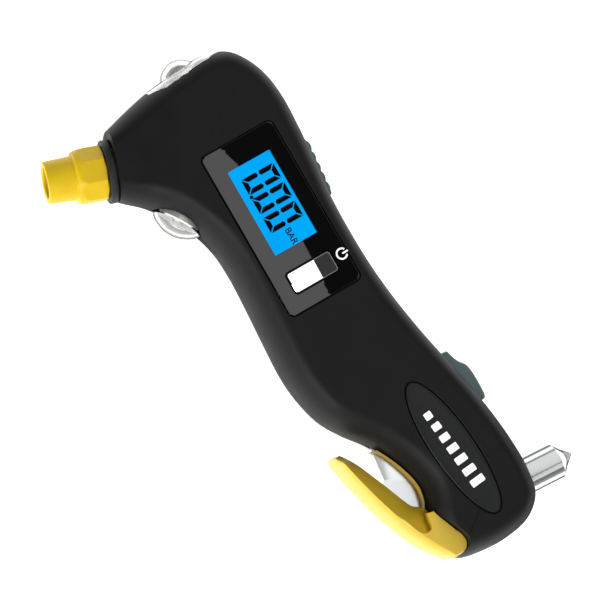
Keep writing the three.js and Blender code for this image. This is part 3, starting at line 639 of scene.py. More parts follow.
def portTool(grow):    # the head lamp's opening, narrower at its two ends
    corners = [(-13.3 - grow, 7.2), (-8.9, 11 + grow), (5.3, 11 + grow), (9.7 + grow, 7.2)]
    corners += [(x, -z) for x, z in corners[::-1]]
    return ringSolid("tool", [[(x, y, midZ + z) for x, z in corners] for y in (38, 52)])


def commonCuts(shell):
    t = triggerSet
    combine(shell, footTool(0.3))
    combine(shell, flatSolid("tool", bladeSlit, midZ - 0.75, midZ + 0.75))
    neck = nozzleBase + nozzleAim * -2.6
    combine(shell, rodTool(26, 0, 34, neck, nozzleAim, 48))
    combine(shell, turnedSolid("tool", [(7.4, -14), (7.4, -2.9), (8.0, -2.3), (8.0, 2)],
                               nozzleBase, nozzleAim))
    combine(shell, portTool(0.3))
    combine(shell, rodTool(7.75, -9, 9, lampCentre, lampAim))
    combine(shell, boxTool(12, 26, -6.6, 10.8, midZ - 4.6, midZ + 4.6))
    slot = place2d(roundedRect(8.5, t["length"] + 0.6, 0.8), t["x"], t["y"], t["tilt"])
    combine(shell, slab("tool", slot, [(midZ - t["half"] - 0.3, 0), (midZ + t["half"] + 0.3, 0)]))
    combine(shell, rodTool(5.35, 2, 40, hammerBase, hammerAim))
    return shell


windowSet = {"width": 23.0, "height": 50.6, "corner": 1.6, "y": -5.5, "bottom": 26.45, "top": 28.0}
windowOutline = place2d(roundedRect(windowSet["width"], windowSet["height"], windowSet["corner"]),
                        0, windowSet["y"])
plateSet = {"x": 9.85, "y": -84.3, "length": 43.2, "width": 11.8, "tilt": 5.0}


def ovalOutline(grow=0.0, steps=120):
    p = plateSet
    ring = [((p["width"] / 2 + grow) * math.cos(2 * math.pi * i / steps),
             (p["length"] / 2 + grow) * math.sin(2 * math.pi * i / steps)) for i in range(steps)]
    return place2d(ring, p["x"], p["y"], p["tilt"])


towerRoom = fullForm("tower_room", 0.9, 1.2, 8)
frontShell = commonCuts(shellHalf("front_shell_skin", 1))
combine(frontShell, slab("tool", windowOutline, [(26.15, 0.3), (27.8, 0.3), (27.95, 0.36), (28.1, 0.55),
                                                 (32, 0.6)]))
combine(frontShell, boxTool(-9.3, 9.3, -28.8, 17.8, 20, 30))
combine(frontShell, slab("tool", ovalOutline(), [(26.8, 0.3), (27.75, 0.3), (27.9, 0.36), (28.1, 0.6),
                                                 (32, 0.6)]))
for spotX, spotY in screwSpots:
    tower = rodTool(2.9, midZ + 0.15, 25.7, (spotX, spotY, 0), (0, 0, 1), 32)
    combine(frontShell, combine(tower, towerRoom, "INTERSECT", keepTool=True), "UNION")
    combine(frontShell, rodTool(1.4, 10, 23.5, (spotX, spotY, 0), (0, 0, 1), 32))
finishPiece(frontShell, softTouchAbs, "housing", ["front_shell"], 30, weighted=True)

rearShell = commonCuts(shellHalf("rear_shell_skin", -1))
doorHole = grow2d(doorOutline, 0.3)
combine(rearShell, slab("tool", doorHole, [(-4, 0), (6, 0)]))
for spotX, spotY in screwSpots:
    tower = rodTool(3.6, 2.4, midZ - 0.15, (spotX, spotY, 0), (0, 0, 1), 32)
    combine(rearShell, combine(tower, towerRoom, "INTERSECT", keepTool=True), "UNION")
    combine(rearShell, turnedSolid("tool", [(3.3, -3), (3.3, 0.1), (2.9, 0.5), (2.9, 3.4)],
                                   (spotX, spotY, 0), (0, 0, 1), 40))
    combine(rearShell, rodTool(1.5, 3, 20, (spotX, spotY, 0), (0, 0, 1), 32))
bpy.data.objects.remove(towerRoom)
finishPiece(rearShell, softTouchAbs, "housing", ["rear_shell"], 30, weighted=True)
print("shells ready", len(frontShell.data.vertices), len(rearShell.data.vertices))

# battery door, with grip grooves cut into its face
doorSet = {"inset": 2.4, "bars": 6, "barPitch": 1.7, "barLength": 12.0, "barRise": 0.55}
door = fullForm("battery_door_skin", 0, 0, 12)
combine(door, fullForm("tool", bodySet["wall"], doorSet["inset"], 8))
combine(door, slab("tool", doorOutline, [(-2, 0), (5.5, 0)]), "INTERSECT")
for bar in range(doorSet["bars"]):
    spot = doorCentre - bayAim * (20.0 - bar * doorSet["barPitch"])
    ring = place2d(roundedRect(doorSet["barLength"], 0.8, 0.39, 4), spot.x, spot.y, 16)
    combine(door, slab("tool", ring, [(-1, 0), (0.3, 0)]))
finishPiece(door, softTouchAbs, "door", ["battery_door"], 30, weighted=True)
print("door ready")

# oval plate with a plain level mark
ovalLevels = [(27.1, -0.15), (27.2, 0), (27.8, 0), (27.95, -0.05), (28.05, -0.16), (28.1, -0.34),
              (28.1, -0.55), (28.02, -0.75), (27.99, -1.1), (27.96, -2.2), (27.94, -3.4), (27.93, -4.6)]
ovalPlate = ringSolid("nameplate_skin", [[(x, y, z) for x, y in ovalOutline(g)] for z, g in ovalLevels])
finishPiece(ovalPlate, satinAbs, "housing", ["nameplate"], 40)
markSet = {"count": 7, "pitch": 3.75, "width": 2.15, "low": 2.3, "high": 4.3, "base": -1.9}
for k in range(markSet["count"]):
    share = k / (markSet["count"] - 1)
    tall = markSet["low"] + (markSet["high"] - markSet["low"]) * share
    bar = roundedRect(tall, markSet["width"], 0.3, 3)
    bar = [(x + markSet["base"] + tall / 2, y + (3 - k) * markSet["pitch"]) for x, y in bar]
    ring = place2d(bar, plateSet["x"], plateSet["y"], plateSet["tilt"])
    mark = slab(f"level_bar_{k + 1}", ring, [(27.9, 0), (28.03, 0)])
    finishPiece(mark, whiteInkPaintedGlow, "housing", angle=30)
print("plate ready")

# window, display, digits
lcdSet = {"x": 0.1, "y": -0.5, "width": 13.65, "height": 26.4, "glassTop": 27.35}
buttonSet = {"width": 14.0, "height": 6.2, "y": -22.7, "corner": 0.9}
window = roundedSlab("window_bezel", windowOutline, windowSet["bottom"], windowSet["top"], 0.22)
lcdHole = place2d(roundedRect(lcdSet["width"], lcdSet["height"], 0.15, 3), lcdSet["x"], lcdSet["y"])
combine(window, slab("tool", lcdHole, [(20, 0), (30, 0)]))
keyHole = place2d(roundedRect(buttonSet["width"] + 0.6, buttonSet["height"] + 0.6, 1.1), 0, buttonSet["y"])
combine(window, slab("tool", keyHole, [(20, 0), (27.85, 0), (28.0, 0.1), (28.05, 0.15)]))
finishPiece(window, printedAcrylic, "housing", ["window_lens"], 40, weighted=True)
lcd = slab("lcd_cell", grow2d(lcdHole, -0.02), [(26.5, 0), (lcdSet["glassTop"], 0)])
finishPiece(lcd, backlitCell, "housing", angle=30)
lcdBack = slab("lcd_carrier", place2d(roundedRect(15.2, 29.5, 0.6), 0, 0), [(23.6, 0), (25.9, 0)])
finishPiece(lcdBack, milkAcrylic, "housing", ["lcd_panel"], 30)


def segmentBar(a, b, half, startCut, endCut):    # a bar from a to b; each end is a mitre or a blunt point
    blunt = [(half * 0.55, half), (0, half * 0.35)]
    if startCut == "point":
        ring = [(a + x, -y) for x, y in blunt] + [(a + x, y) for x, y in blunt[::-1]]
    else:
        ring = [(a + 2 * half, -half), (a, half)]
    if endCut == "point":
        return ring + [(b - x, y) for x, y in blunt] + [(b - x, -y) for x, y in blunt[::-1]]
    return ring + [(b, half), (b - 2 * half, -half)]


digitSet = {"pitch": 6.05, "firstY": 6.7, "wide": 4.85, "tall": 10.5, "midX": 0.8, "half": 0.72, "gap": 0.2}


def zeroSegments(cy):    # six segments of a nought; its top points to +X
    d = digitSet
    h, g = d["half"], d["gap"]
    x0, x1 = d["midX"] - d["tall"] / 2, d["midX"] + d["tall"] / 2
    y0, y1 = cy - d["wide"] / 2, cy + d["wide"] / 2
    made = []
    for end, turn in ((x1, 1), (x0, -1)):    # the short bars across the top and the bottom
        bar = segmentBar(y0 + g, y1 - g, h, "mitre", "mitre")
        made.append([(end - turn * h + turn * v, u) for u, v in bar])
    for edge, side in ((y1, 1), (y0, -1)):    # the two long sides, each in two halves
        bar = segmentBar(x0 + g, d["midX"] - 0.28, h, "mitre", "point")
        made.append([(u, edge - side * h + side * v) for u, v in bar])
        bar = segmentBar(d["midX"] + 0.28, x1 - g, h, "point", "mitre")
        made.append([(u, edge - side * h + side * v) for u, v in bar])
    return made


inkLow, inkTop = lcdSet["glassTop"] + 0.01, lcdSet["glassTop"] + 0.05
for digit in range(3):
    centreY = digitSet["firstY"] - digit * digitSet["pitch"]
    for k, ring in enumerate(zeroSegments(centreY)):
        part = flatSolid(f"digit_{digit + 1}_segment_{k + 1}", ring, inkLow, inkTop)
        finishPiece(part, segmentInk, "housing", angle=30)
dotRing = place2d(roundedRect(1.0, 1.0, 0.35, 3), -4.2, 3.6)
dot = slab("decimal_dot", dotRing, [(inkLow, 0), (inkTop, 0)])
finishPiece(dot, segmentInk, "housing", angle=30)

unitText = bpy.data.curves.new("unit_text", "FONT")
unitText.body, unitText.size, unitText.extrude = "BAR", 2.7 * mm, 0.02 * mm
unitText.offset = 0.035 * mm
unitText.align_x, unitText.align_y = "CENTER", "CENTER"
unitObject = bpy.data.objects.new("unit_text", unitText)
scene.collection.objects.link(unitObject)
unitObject.matrix_world = (Matrix.Translation(Vector((0.1, -11.1, lcdSet["glassTop"] + 0.03)) * mm)
                           @ Matrix.Rotation(math.radians(-90), 4, "Z"))
bpy.context.view_layer.update()
unitMesh = bpy.data.meshes.new_from_object(unitObject.evaluated_get(bpy.context.evaluated_depsgraph_get()))
unitMesh.transform(unitObject.matrix_world)
bpy.data.objects.remove(unitObject)
unit = bpy.data.objects.new("unit_letters", unitMesh)
scene.collection.objects.link(unit)
finishPiece(unit, unitInk, "housing", angle=30)

iconSet = {"x": 9.9, "y": -22.3, "outer": 1.72, "inner": 1.22, "opening": 32.0}


def arcBand(cx, cy, inner, outer, start, end, steps=40):
    outerArc, innerArc = [], []
    for i in range(steps + 1):
        angle = math.radians(start + (end - start) * i / steps)
        outerArc.append((cx + outer * math.cos(angle), cy + outer * math.sin(angle)))
        innerArc.append((cx + inner * math.cos(angle), cy + inner * math.sin(angle)))
    return outerArc + innerArc[::-1]


icon = iconSet
band = arcBand(icon["x"], icon["y"], icon["inner"], icon["outer"], icon["opening"], 360 - icon["opening"])
bandPiece = flatSolid("power_icon_ring", band, 28.0, 28.03)
finishPiece(bandPiece, whiteInkPaintedGlow, "housing", angle=30)
stem = place2d(roundedRect(1.9, 0.5, 0.2, 3), icon["x"] + 1.05, icon["y"])
finishPiece(slab("power_icon_stem", stem, [(28.0, 0), (28.03, 0)]), whiteInkPaintedGlow, "housing", angle=30)


def keyRing(inset, z):
    b = buttonSet
    ring = roundedRect(b["width"] - 2 * inset, b["height"] - 2 * inset, max(b["corner"] - inset, 0.25))
    return [(x, y, z) for x, y in place2d(ring, 0, b["y"])]


capLevels = [(0.12, 24.25), (0.12, 28.14), (0.16, 28.21), (0.32, 28.333)]
keyCap = ringSolid("power_key_cap", [keyRing(inset, z) for inset, z in capLevels])
skirtLevels = [(-1.0, 22.6), (-1.1, 22.7), (-1.1, 24.1), (-1.0, 24.2)]
skirt = ringSolid("power_key_skirt", [keyRing(inset, z) for inset, z in skirtLevels])
finishPiece(skirt, epoxy, "power_key", ["power_button"], 40)
finishPiece(keyCap, metallisedAbs, "power_key", ["power_button"], 20)
print("display ready")

# nozzle, collar
nozzleSet = {"acrossFlats": 14.9, "nutStart": 0.1, "nutEnd": 8.32, "sides": 8, "turn": 22.5}


def nutShape(radius, distance, angle):
    if not nozzleSet["nutStart"] <= distance <= nozzleSet["nutEnd"]:    # round above and below the nut
        return radius
    part = 2 * math.pi / nozzleSet["sides"]
    local = (angle + math.radians(nozzleSet["turn"])) % part - part / 2
    flat = nozzleSet["acrossFlats"] / 2 / math.cos(local)
    return min(flat, radius)


nozzleProfile = [(6.4, -9), (6.4, 0.0), (6.6, 0.0), (7.1, 0.1), (7.45, 0.2), (8.06, 0.5)]
nozzleProfile += [(8.06 - 0.35 * max(0.0, t - 6.0), t) for t in np.linspace(1.0, 8.2, 19)]
nozzleProfile += [(7.22, 8.34), (7.1, 8.43), (6.95, 8.46), (6.6, 8.48), (6.42, 8.55), (6.34, 8.75)]
nozzleProfile += [(6.3 - 0.045 * (t - 9.0), t) for t in np.linspace(9.0, 16.2, 9)]
nozzleProfile += [(5.95, 16.4), (5.87, 16.57), (5.73, 16.67), (5.55, 16.7)]
nozzle = turnedSolid("nozzle_body", nozzleProfile, nozzleBase, nozzleAim, 160, nutShape)
combine(nozzle, turnedSolid("tool", [(2.2, -12), (2.2, 5), (4.3, 5.0), (4.3, 16.3), (4.42, 16.5),
                                     (4.6, 16.62), (4.8, 16.72), (4.8, 19)],
                            nozzleBase, nozzleAim, 96))
finishPiece(nozzle, nylon, "housing", ["valve_nozzle"], 26)
collarProfile = [(6.7, -2.3), (8.5, -2.3), (8.85, -2.2), (8.95, -1.95), (8.95, -0.55), (8.85, -0.25),
                 (8.5, -0.1), (6.7, -0.1)]
collar = turnedTube("nozzle_collar_ring", collarProfile, nozzleBase, nozzleAim, 96)
finishPiece(collar, nitrile, "housing", ["nozzle_collar"], 40)
print("nozzle ready")

# head lamp
lens = fullForm("headlamp_window", 0, 0, 14)
combine(lens, fullForm("tool", 1.7, 2.4, 8))
combine(lens, portTool(0), "INTERSECT")
domeCentre = Vector((-1.8, 42.2, midZ))


def ballProfile(radius, steps=28):
    return [(radius * math.sin(math.pi * i / steps), -radius * math.cos(math.pi * i / steps))
            for i in range(steps + 1)]


dome = turnedSolid("tool", ballProfile(6.0), domeCentre, (0, 1, 0), 72)
combine(dome, boxTool(-20, 20, 43.3, 60, 0, 28), "INTERSECT")
combine(lens, dome, "UNION")
combine(lens, turnedSolid("tool", ballProfile(4.8), domeCentre, (0, 1, 0), 72))
finishPiece(lens, polycarbonate, "housing", ["headlamp_lens"], 30)
bowl = [(1.9, 30.2), (4.4, 30.2), (5.2, 32.0), (5.9, 34.2), (6.4, 36.6), (6.4, 37.2), (5.9, 37.2),
        (5.7, 36.4), (5.1, 34.2), (4.3, 32.4), (3.6, 31.2), (1.9, 31.2)]
reflector = turnedTube("headlamp_bowl", bowl, (-1.8, 4.2, midZ), (0, 1, 0), 72)
finishPiece(reflector, metallisedAbs, "housing", ["headlamp_reflector"], 40)
ledProfile = [(0.02, 0), (1.5, 0), (1.5, 3.9)] + [(1.5 * math.cos(a), 4.1 + 1.5 * math.sin(a))
                                                  for a in np.linspace(0.1, 1.5, 10)]
headLed = turnedSolid("headlamp_emitter", ledProfile, (-1.8, 34.0, midZ), (0, 1, 0), 40)
finishPiece(headLed, ledEpoxy, "housing", ["headlamp_led"], 40)

# valve lamp
capRadius, capRise, rimRadius = 10.03, 3.6, 7.4


def capArc(radius, rim, steps=22):
    base = capRise - capRadius
    return [(rim * (1 - i / steps), base + math.sqrt(radius ** 2 - (rim * (1 - i / steps)) ** 2))
            for i in range(steps + 1)]


lampLens = turnedSolid("valve_lamp_dome", [(rimRadius, -3), (rimRadius, -0.2)]
                       + capArc(capRadius, rimRadius), lampCentre, lampAim, 96)
combine(lampLens, turnedSolid("tool", [(6.4, -4)] + capArc(capRadius - 1.1, 6.4), lampCentre, lampAim, 96))
finishPiece(lampLens, polycarbonate, "housing", ["valve_lamp_lens"], 30)
seatProfile = [(0.02, -2.6), (6.0, -2.6), (6.0, -0.2), (5.8, -0.15), (5.55, -0.3), (5.2, -1.2), (4.4, -1.7),
               (3.0, -1.95), (0.02, -2.0)]
lampSeat = turnedSolid("valve_lamp_dish", seatProfile, lampCentre, lampAim, 72)
finishPiece(lampSeat, whiteAbs, "housing", ["valve_lamp_seat"], 40)
ledLow = [(0.02, -1.6), (1.7, -1.6), (1.7, -0.7)] + [(1.7 * math.cos(a), -0.7 + 1.5 * math.sin(a))
                                                     for a in np.linspace(0.1, 1.5, 8)]
lampLed = turnedSolid("valve_lamp_emitter", ledLow, lampCentre, lampAim, 40)
finishPiece(lampLed, milkAcrylic, "housing", ["valve_lamp_led"], 40)
print("lamps ready")


# spine keys: an outline in plan, its upper and lower edges rounded
def sidewaysSlab(name, outline2d, half, edge, steps=4):
    levels = []
    for i in range(steps + 1):
        a = math.pi / 2 * (1 - i / steps)
        levels.append((midZ - half + edge * (1 - math.sin(a)), -edge * (1 - math.cos(a))))
    for i in range(steps + 1):
        a = math.pi / 2 * i / steps
        levels.append((midZ + half - edge * (1 - math.sin(a)), -edge * (1 - math.cos(a))))
    return slab(name, outline2d, levels)


def fixWinding(ring):
    area = sum(ring[i - 1][0] * ring[i][1] - ring[i][0] * ring[i - 1][1] for i in range(len(ring)))
    return ring if area > 0 else ring[::-1]


padSet = {"ribs": 5, "firstY": -4.9, "pitch": 3.1, "baseX": 19.0, "lean": 0.27, "half": 4.3}
padRing = [(17.0, -6.3), (18.4, -6.3), (18.65, -6.0)]
for k in range(padSet["ribs"]):
    ribY, ribX = padSet["firstY"] + k * padSet["pitch"], padSet["baseX"] + k * padSet["lean"]
    for i in range(9):
        share = i / 8
        padRing.append((ribX - 0.1 + 0.34 * math.sin(math.pi * share) ** 0.7, ribY + 2.45 * share))
padRing += [(19.95, 10.1), (19.7, 10.5), (17.0, 10.5)]
lampKey = sidewaysSlab("lamp_key_pad", fixWinding(padRing), padSet["half"], 0.35)
combine(lampKey, boxTool(15.6, 17.1, -7.4, 11.6, midZ - 5.3, midZ + 5.3), "UNION")
finishPiece(lampKey, elastomer, "lamp_key", ["lamp_button"], 40)

triggerKnots = [(24.75, -60.75), (25.2, -62.4), (26.15, -64.7), (27.55, -66.5), (28.05, -68.6),
                (28.2, -71.2), (28.15, -74.2), (28.0, -76.3), (27.6, -77.3), (26.8, -77.5)]
triggerRing = [(22.0, -60.6), (24.6, -60.6)] + [tuple(p) for p in spline(triggerKnots, 40)] + [(24.3, -77.3)]
triggerKey = sidewaysSlab("trigger_key_pad", fixWinding(triggerRing), 4.2, 0.8, 6)
finishPiece(triggerKey, elastomer, "trigger_key", ["trigger_button"], 40)
print("keys ready")

# belt cutter
guardYs = np.concatenate([np.linspace(-70.6, -72.5, 8), np.linspace(-73, -94, 36),
                          np.linspace(-94.5, -109, 34), np.linspace(-109.3, -111.17, 16)])


def guardSection(y):
    outer, inner = xAt(guardOuter, y), xAt(guardInner, y)
    rise = min(1.0, (-70.6 - y) / 2.4)
    fall = min(1.0, (y + 112.2) / 1.8)
    full = 9.3 * (0.62 + 0.38 * smoothstep(0, 1, rise) * smoothstep(0, 1, fall))
    thin = min(full, 3.0 + (full - 3.0) * smoothstep(0, 1, (-102 - y) / 3.0))
    width = inner - outer
    knots = [(0, 0), (0.012, 0.25), (0.03, 0.45), (0.06, 0.66), (0.10, 0.82), (0.16, 0.93), (0.235, 0.99)]
    upper = [(outer + width * u, full * h) for u, h in knots]
    for u in (0.30, 0.38, 0.48, 0.60, 0.72, 0.84, 0.95, 1.0):
        slope = (u - 0.26) / 0.74
        upper.append((outer + width * u, full + (thin - full) * (slope ** 0.92) if u < 1 else thin))
    lower = [(x, -h) for x, h in upper[1:]][::-1]
    return [(x, y, midZ + h) for x, h in upper] + [(x, y, midZ + h) for x, h in lower]


guard = ringSolid("cutter_hook", [guardSection(y) for y in guardYs])
footArc = [tuple(p) for p in spline([(-10.0, -99.0), (-8.9, -100.4), (-7.5, -101.1), (-6.2, -101.0),
                                     (-5.4, -100.1), (-5.0, -98.7), (-4.75, -97.4), (-4.7, -96.5)], 32)]
footRing = footArc + [(xAt(guardInner, y) - 0.03, y) for y in np.linspace(-96.9, -110.5, 32)]
footRing += [(xAt(guardOuter, y) * 0.76 + xAt(guardInner, y) * 0.24, y)
             for y in np.linspace(-110.5, -101, 16)]
footRings = []
for share in np.linspace(0, 1, 12):    # the arc's wall is a cove, steep at its upper edge
    plain = footRing[::-1]
    grown = grow2d(plain, 2.6 * (1 - share) ** 2.2)
    count = len(footRing) - len(footArc)
    ring = []
    for i, (spot, far) in enumerate(zip(plain, grown)):
        along = (i - count) / (len(footArc) - 1)
        weight = min(1.0, 3.5 * along, 2.2 * (1 - along)) if along > 0 else 0.0
        ring.append((spot[0] + (far[0] - spot[0]) * weight, spot[1] + (far[1] - spot[1]) * weight,
                     3.1 + 6.05 * share))
    footRings.append(ring)
footRings.append([(*p, 9.25) for p in grow2d(footRing[::-1], -0.05)])
footRings.append([(*p, 9.3) for p in grow2d(footRing[::-1], -0.16)])
for side in (1, -1):
    rings = [[(x, y, midZ + side * z) for x, y, z in ring]
             for ring in [[(x, y, 1.5) for x, y, _ in footRings[0]]] + footRings]
    combine(guard, ringSolid("tool", rings), "UNION")


def bodySideX(y):
    crossing = []
    for i in range(len(outline)):
        (ax, ay), (bx, by) = outline[i - 1], outline[i]
        if ax < 5 and (ay - y) * (by - y) <= 0 and abs(by - ay) > 1e-9:
            crossing.append(ax + (bx - ax) * (y - ay) / (by - ay))
    return min(crossing, key=lambda x: abs(x + 4))


liningYs = np.linspace(-74.5, -93.6, 30)
liningRing = [(bodySideX(y) - 0.3, y) for y in liningYs] + [(-3.5, -95.4), (-4.9, -96.4)]
liningRing += [(bodySideX(y) - 1.05, y) for y in liningYs[::-1]]
combine(guard, flatSolid("tool", liningRing, midZ - 3.6, midZ + 3.6), "UNION")
combine(guard, flatSolid("tool", bladeSlit, midZ - 0.75, midZ + 0.75))
pinSpots, pinBore = [(-10.6, -88.6), (-7.2, -96.4)], 1.06
for pinX, pinY in pinSpots:
    combine(guard, rodTool(pinBore, midZ - 4.21, midZ + 4.21, (pinX, pinY, 0), (0, 0, 1), 32))
finishPiece(guard, yellowAbs, "housing", ["cutter_guard"], 24)

bladeRing = [(-7.5, -72.6), (-8.7, -83.0), (-12.6, -86.8), (-11.6, -93.2), (-7.6, -99.4), (-3.6, -98.6),
             (-0.9, -92.5), (-1.2, -88), (-2.6, -82), (-4.8, -76.4), (-6.6, -73.0)]
blade = flatSolid("cutter_edge", bladeRing, midZ - 0.45, midZ + 0.45)
edgeWay = Vector((-8.7 + 7.5, -83.0 + 72.6, 0)).normalized()
edgeSide = Vector((-edgeWay.y, edgeWay.x, 0))
edgeSide = edgeSide if edgeSide.x < 0 else -edgeSide
for flip in (1, -1):    # grinds the two faces that meet at the cutting edge
    start, end = Vector((-7.5, -72.6, 0)) - edgeWay * 3, Vector((-8.7, -83.0, 0)) + edgeWay * 0.2
    ring = []
    for spot in (start, end):
        near, away = spot + edgeSide * 0.4, spot - edgeSide * 2.2
        ring.append([near + Vector((0, 0, midZ + flip * 0.04)), away + Vector((0, 0, midZ + flip * 0.46)),
                     away + Vector((0, 0, midZ + flip * 3)), near + Vector((0, 0, midZ + flip * 3))])
    combine(blade, ringSolid("tool", ring))
for pinX, pinY in pinSpots:
    combine(blade, rodTool(pinBore, 0, 28, (pinX, pinY, 0), (0, 0, 1), 32))
finishPiece(blade, groundSteel, "housing", ["cutter_blade"], 10)
print("cutter ready")

# glass hammer
shankProfile = [(4.6, 0), (5.05, 0.6)] + [(5.05, t) for t in np.linspace(1.5, 22.9, 14)]
shankProfile += [(5.02, 22.9), (4.93, 23.05), (2.75, 24.95)]
shank = turnedSolid("hammer_rod", shankProfile, hammerBase, hammerAim, 96)
finishPiece(shank, platedSteel, "housing", ["hammer_shank"], 28)
pointProfile = [(2.5, 25.2), (2.45, 25.28), (0.35, 27.5), (0.18, 27.66), (0.05, 27.7)]
point = turnedSolid("hammer_tip", pointProfile, hammerBase, hammerAim, 48)
finishPiece(point, hardSteel, "housing", ["hammer_point"], 28)

# screws with cross recesses
for k, (spotX, spotY) in enumerate(screwSpots):
    profile = [(0.02, 1.2), (1.9, 1.2), (2.3, 1.35), (2.5, 1.7), (2.5, 2.9), (1.1, 3.1), (1.1, 20),
               (0.02, 21.2)]
    screw = turnedSolid(f"screw_{k + 1}_cross", profile, (spotX, spotY, 0), (0, 0, 1), 40)
    for tilt in (0, 90):
        slot = place2d(roundedRect(2.9, 0.55, 0.1, 2), spotX, spotY, tilt + 20 * k)
        combine(screw, slab("tool", slot, [(0.5, 0), (2.2, -0.1)]))
    finishPiece(screw, zincPlate, "housing", [f"shell_screw_{k + 1}"], 32)
print("metal parts ready")

# carried-over CAD nodes
carried = {
    "lcd_backlight": milkAcrylic, "power_switch": epoxy, "main_board": fibreglass, "gauge_chip": epoxy,
    "buzzer": epoxy, "nozzle_seal": nitrile, "depressor_pin": brass, "air_tube": nitrile,
    "pressure_sensor": epoxy, "headlamp_board": fibreglass, "lamp_switch": epoxy, "trigger_switch": epoxy,
    "blade_pin_1": zincPlate, "blade_pin_2": zincPlate, "cell_1": shrinkSleeve, "cell_2": shrinkSleeve,
    "contact_upper": zincPlate, "contact_lower": zincPlate,
}
for nodeName, material in carried.items():
    nodes[nodeName].data.materials.clear()
    nodes[nodeName].data.materials.append(material)
    edges = nodes[nodeName].modifiers.new("edges", "BEVEL")
    edges.width, edges.segments = 0.08 * mm, 2
    edges.limit_method, edges.angle_limit = "ANGLE", math.radians(35)
print("inner parts ready")

# floor and light
floorMaterial, _, floorShader, _ = startMaterial("paleFloor", {
    "Roughness": 0.9, "Specular IOR Level": 0.1, "Emission Color": toLinear("#ffffff"),
    "Emission Strength": 0.8})
floorShader.inputs["Base Color"].default_value = toLinear("#f4f4f4")
floorReach = 3000
floor = newMesh("floor", [(x * floorReach, y * floorReach, -0.2)
                          for x, y in ((-1, -1), (1, -1), (1, 1), (-1, 1))], [(0, 1, 2, 3)])
floor.data.materials.append(floorMaterial)

scene.view_settings.view_transform = "Standard"
world = bpy.data.worlds.new("studio")
scene.world = world
world.use_nodes = True
worldTree = world.node_tree
worldTree.nodes.clear()
skyWay = addNode(worldTree, "ShaderNodeTexCoord").outputs["Generated"]
skyHeight = addNode(worldTree, "ShaderNodeSeparateXYZ", links={"Vector": skyWay}).outputs["Z"]
skyBand = addNode(worldTree, "ShaderNodeMapRange", {
    "From Min": 0.05, "From Max": 0.7, "To Min": 0.42, "To Max": 0.045}, {"Value": skyHeight})
skyLight = addNode(worldTree, "ShaderNodeBackground", {"Color": (1, 1, 1, 1)},
                   {"Strength": skyBand.outputs[0]})
addNode(worldTree, "ShaderNodeOutputWorld", links={"Surface": skyLight.outputs[0]})


def areaLight(name, place, target, size, power):
    data = bpy.data.lights.new(name, "AREA")
    data.energy, data.size = power, size
    lamp = bpy.data.objects.new(name, data)
    scene.collection.objects.link(lamp)
    lamp.location = place
    lamp.rotation_euler = (Vector(target) - Vector(place)).to_track_quat("-Z", "Y").to_euler()
    return lamp


areaLight("key", (-0.85, -0.25, 0.40), (0, -0.03, 0.01), 0.45, 7.9)
areaLight("fill", (-0.15, -0.75, 0.75), (0, -0.03, 0.01), 0.5, 1.7)
areaLight("back", (0.70, 0.45, 0.60), (0, -0.03, 0.01), 0.5, 1.5)

# softbox card over the display: its straight edge is what the window mirrors
cardSet = {"height": 0.40, "strength": 2.1, "side": 0.85, "nearX": 128, "farX": 600}
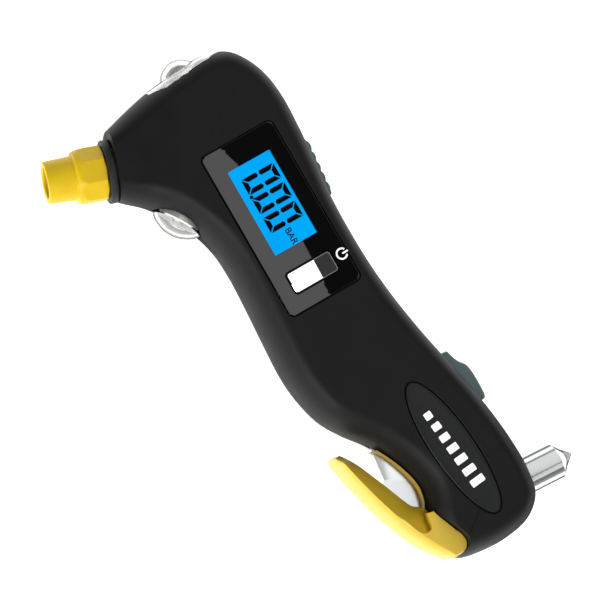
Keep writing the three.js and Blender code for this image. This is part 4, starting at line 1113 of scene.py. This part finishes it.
# dark strips on the floor, round the hammer and the clear lenses, for their edges to mirror
flagSet = {"strength": 0.24, "shift": 3.2, "z": 0.1, "lensReach": 7.0,
           "edge": [(-5, 3.6), (22.8, 3.6), (25.0, 1.5), (27.0, 0)],
           "far": [(-5, 27), (30, 27), (46, 16), (52, 0)]}
flagPoints, flagFaces = [], []
for side in (1, -1):
    for spots in zip(flagSet["edge"], flagSet["far"], flagSet["edge"][1:], flagSet["far"][1:]):
        start = len(flagPoints)
        for run, out in (spots[0], spots[1], spots[3], spots[2]):
            spot = hammerBase + hammerAim * run + Vector((0, side * out, 0))
            flagPoints.append((spot.x + flagSet["shift"], spot.y, flagSet["z"]))
        flagFaces.append(tuple(range(start, start + 4)))
lampTurn = math.degrees(math.atan2(lampAim.y, lampAim.x))
for centre, inner, first, last in ((domeCentre, 5.7, 14, 166),
                                   (lampCentre + lampAim * (capRise - capRadius), capRadius - 0.3,
                                    lampTurn - 46, lampTurn + 46)):
    arc = arcBand(centre.x + flagSet["shift"], centre.y, inner, inner + flagSet["lensReach"], first, last, 24)
    flagFaces.append(tuple(range(len(flagPoints), len(flagPoints) + len(arc))))
    flagPoints += [(x, y, flagSet["z"]) for x, y in arc]
cardWindow = [(-4.9, 60), (-4.8, 19.1), (-5.3, 17.8), (-4.8, 15.9), (-3.5, 13.8), (0.5, 2.0), (2.0, -13.6),
              (1.6, -30), (1.2, -60), (-1.5, -140), (-75, -140), (-75, 60)]
mirrorLevel = 0.028    # the window's face
mirrorEye = Vector((eye.x, eye.y, 2 * mirrorLevel - eye.z))
cardPoints = []
for wx, wy in cardWindow:
    spot = Vector((wx * mm, wy * mm, mirrorLevel))
    ray = (spot - mirrorEye) / (spot.z - mirrorEye.z)
    cardPoints.append(tuple((spot + ray * cardSet["height"]) / mm))
sidePoints, sideFaces = [], []
for y0, y1 in ((-620, -262), (-222, 1200)):    # two cloths over the hammer, with a dark join
    sideFaces.append(tuple(range(len(sidePoints), len(sidePoints) + 4)))
    sidePoints += [(x, y, cardSet["height"] / mm + 28)
                   for x, y in ((cardSet["nearX"], y0), (cardSet["farX"], y0),
                                (cardSet["farX"], y1), (cardSet["nearX"], y1))]
cards = {"display_softbox": (cardPoints, [tuple(range(len(cardPoints)))], cardSet["strength"]),
         "hammer_softbox": (sidePoints, sideFaces, cardSet["side"]),
         "edge_flags": (flagPoints, flagFaces, flagSet["strength"])}
for name, (points, faces, strength) in cards.items():
    card = newMesh(name, points, faces)
    card.data.materials.append(startMaterial(f"{name}_cloth", {
        "Base Color": (0, 0, 0, 1), "Roughness": 1.0, "Emission Color": (1, 1, 1, 1),
        "Emission Strength": strength})[0])
    card.visible_camera = False
    card.visible_shadow = False
    card.visible_diffuse = name != "edge_flags"
print("studio ready")
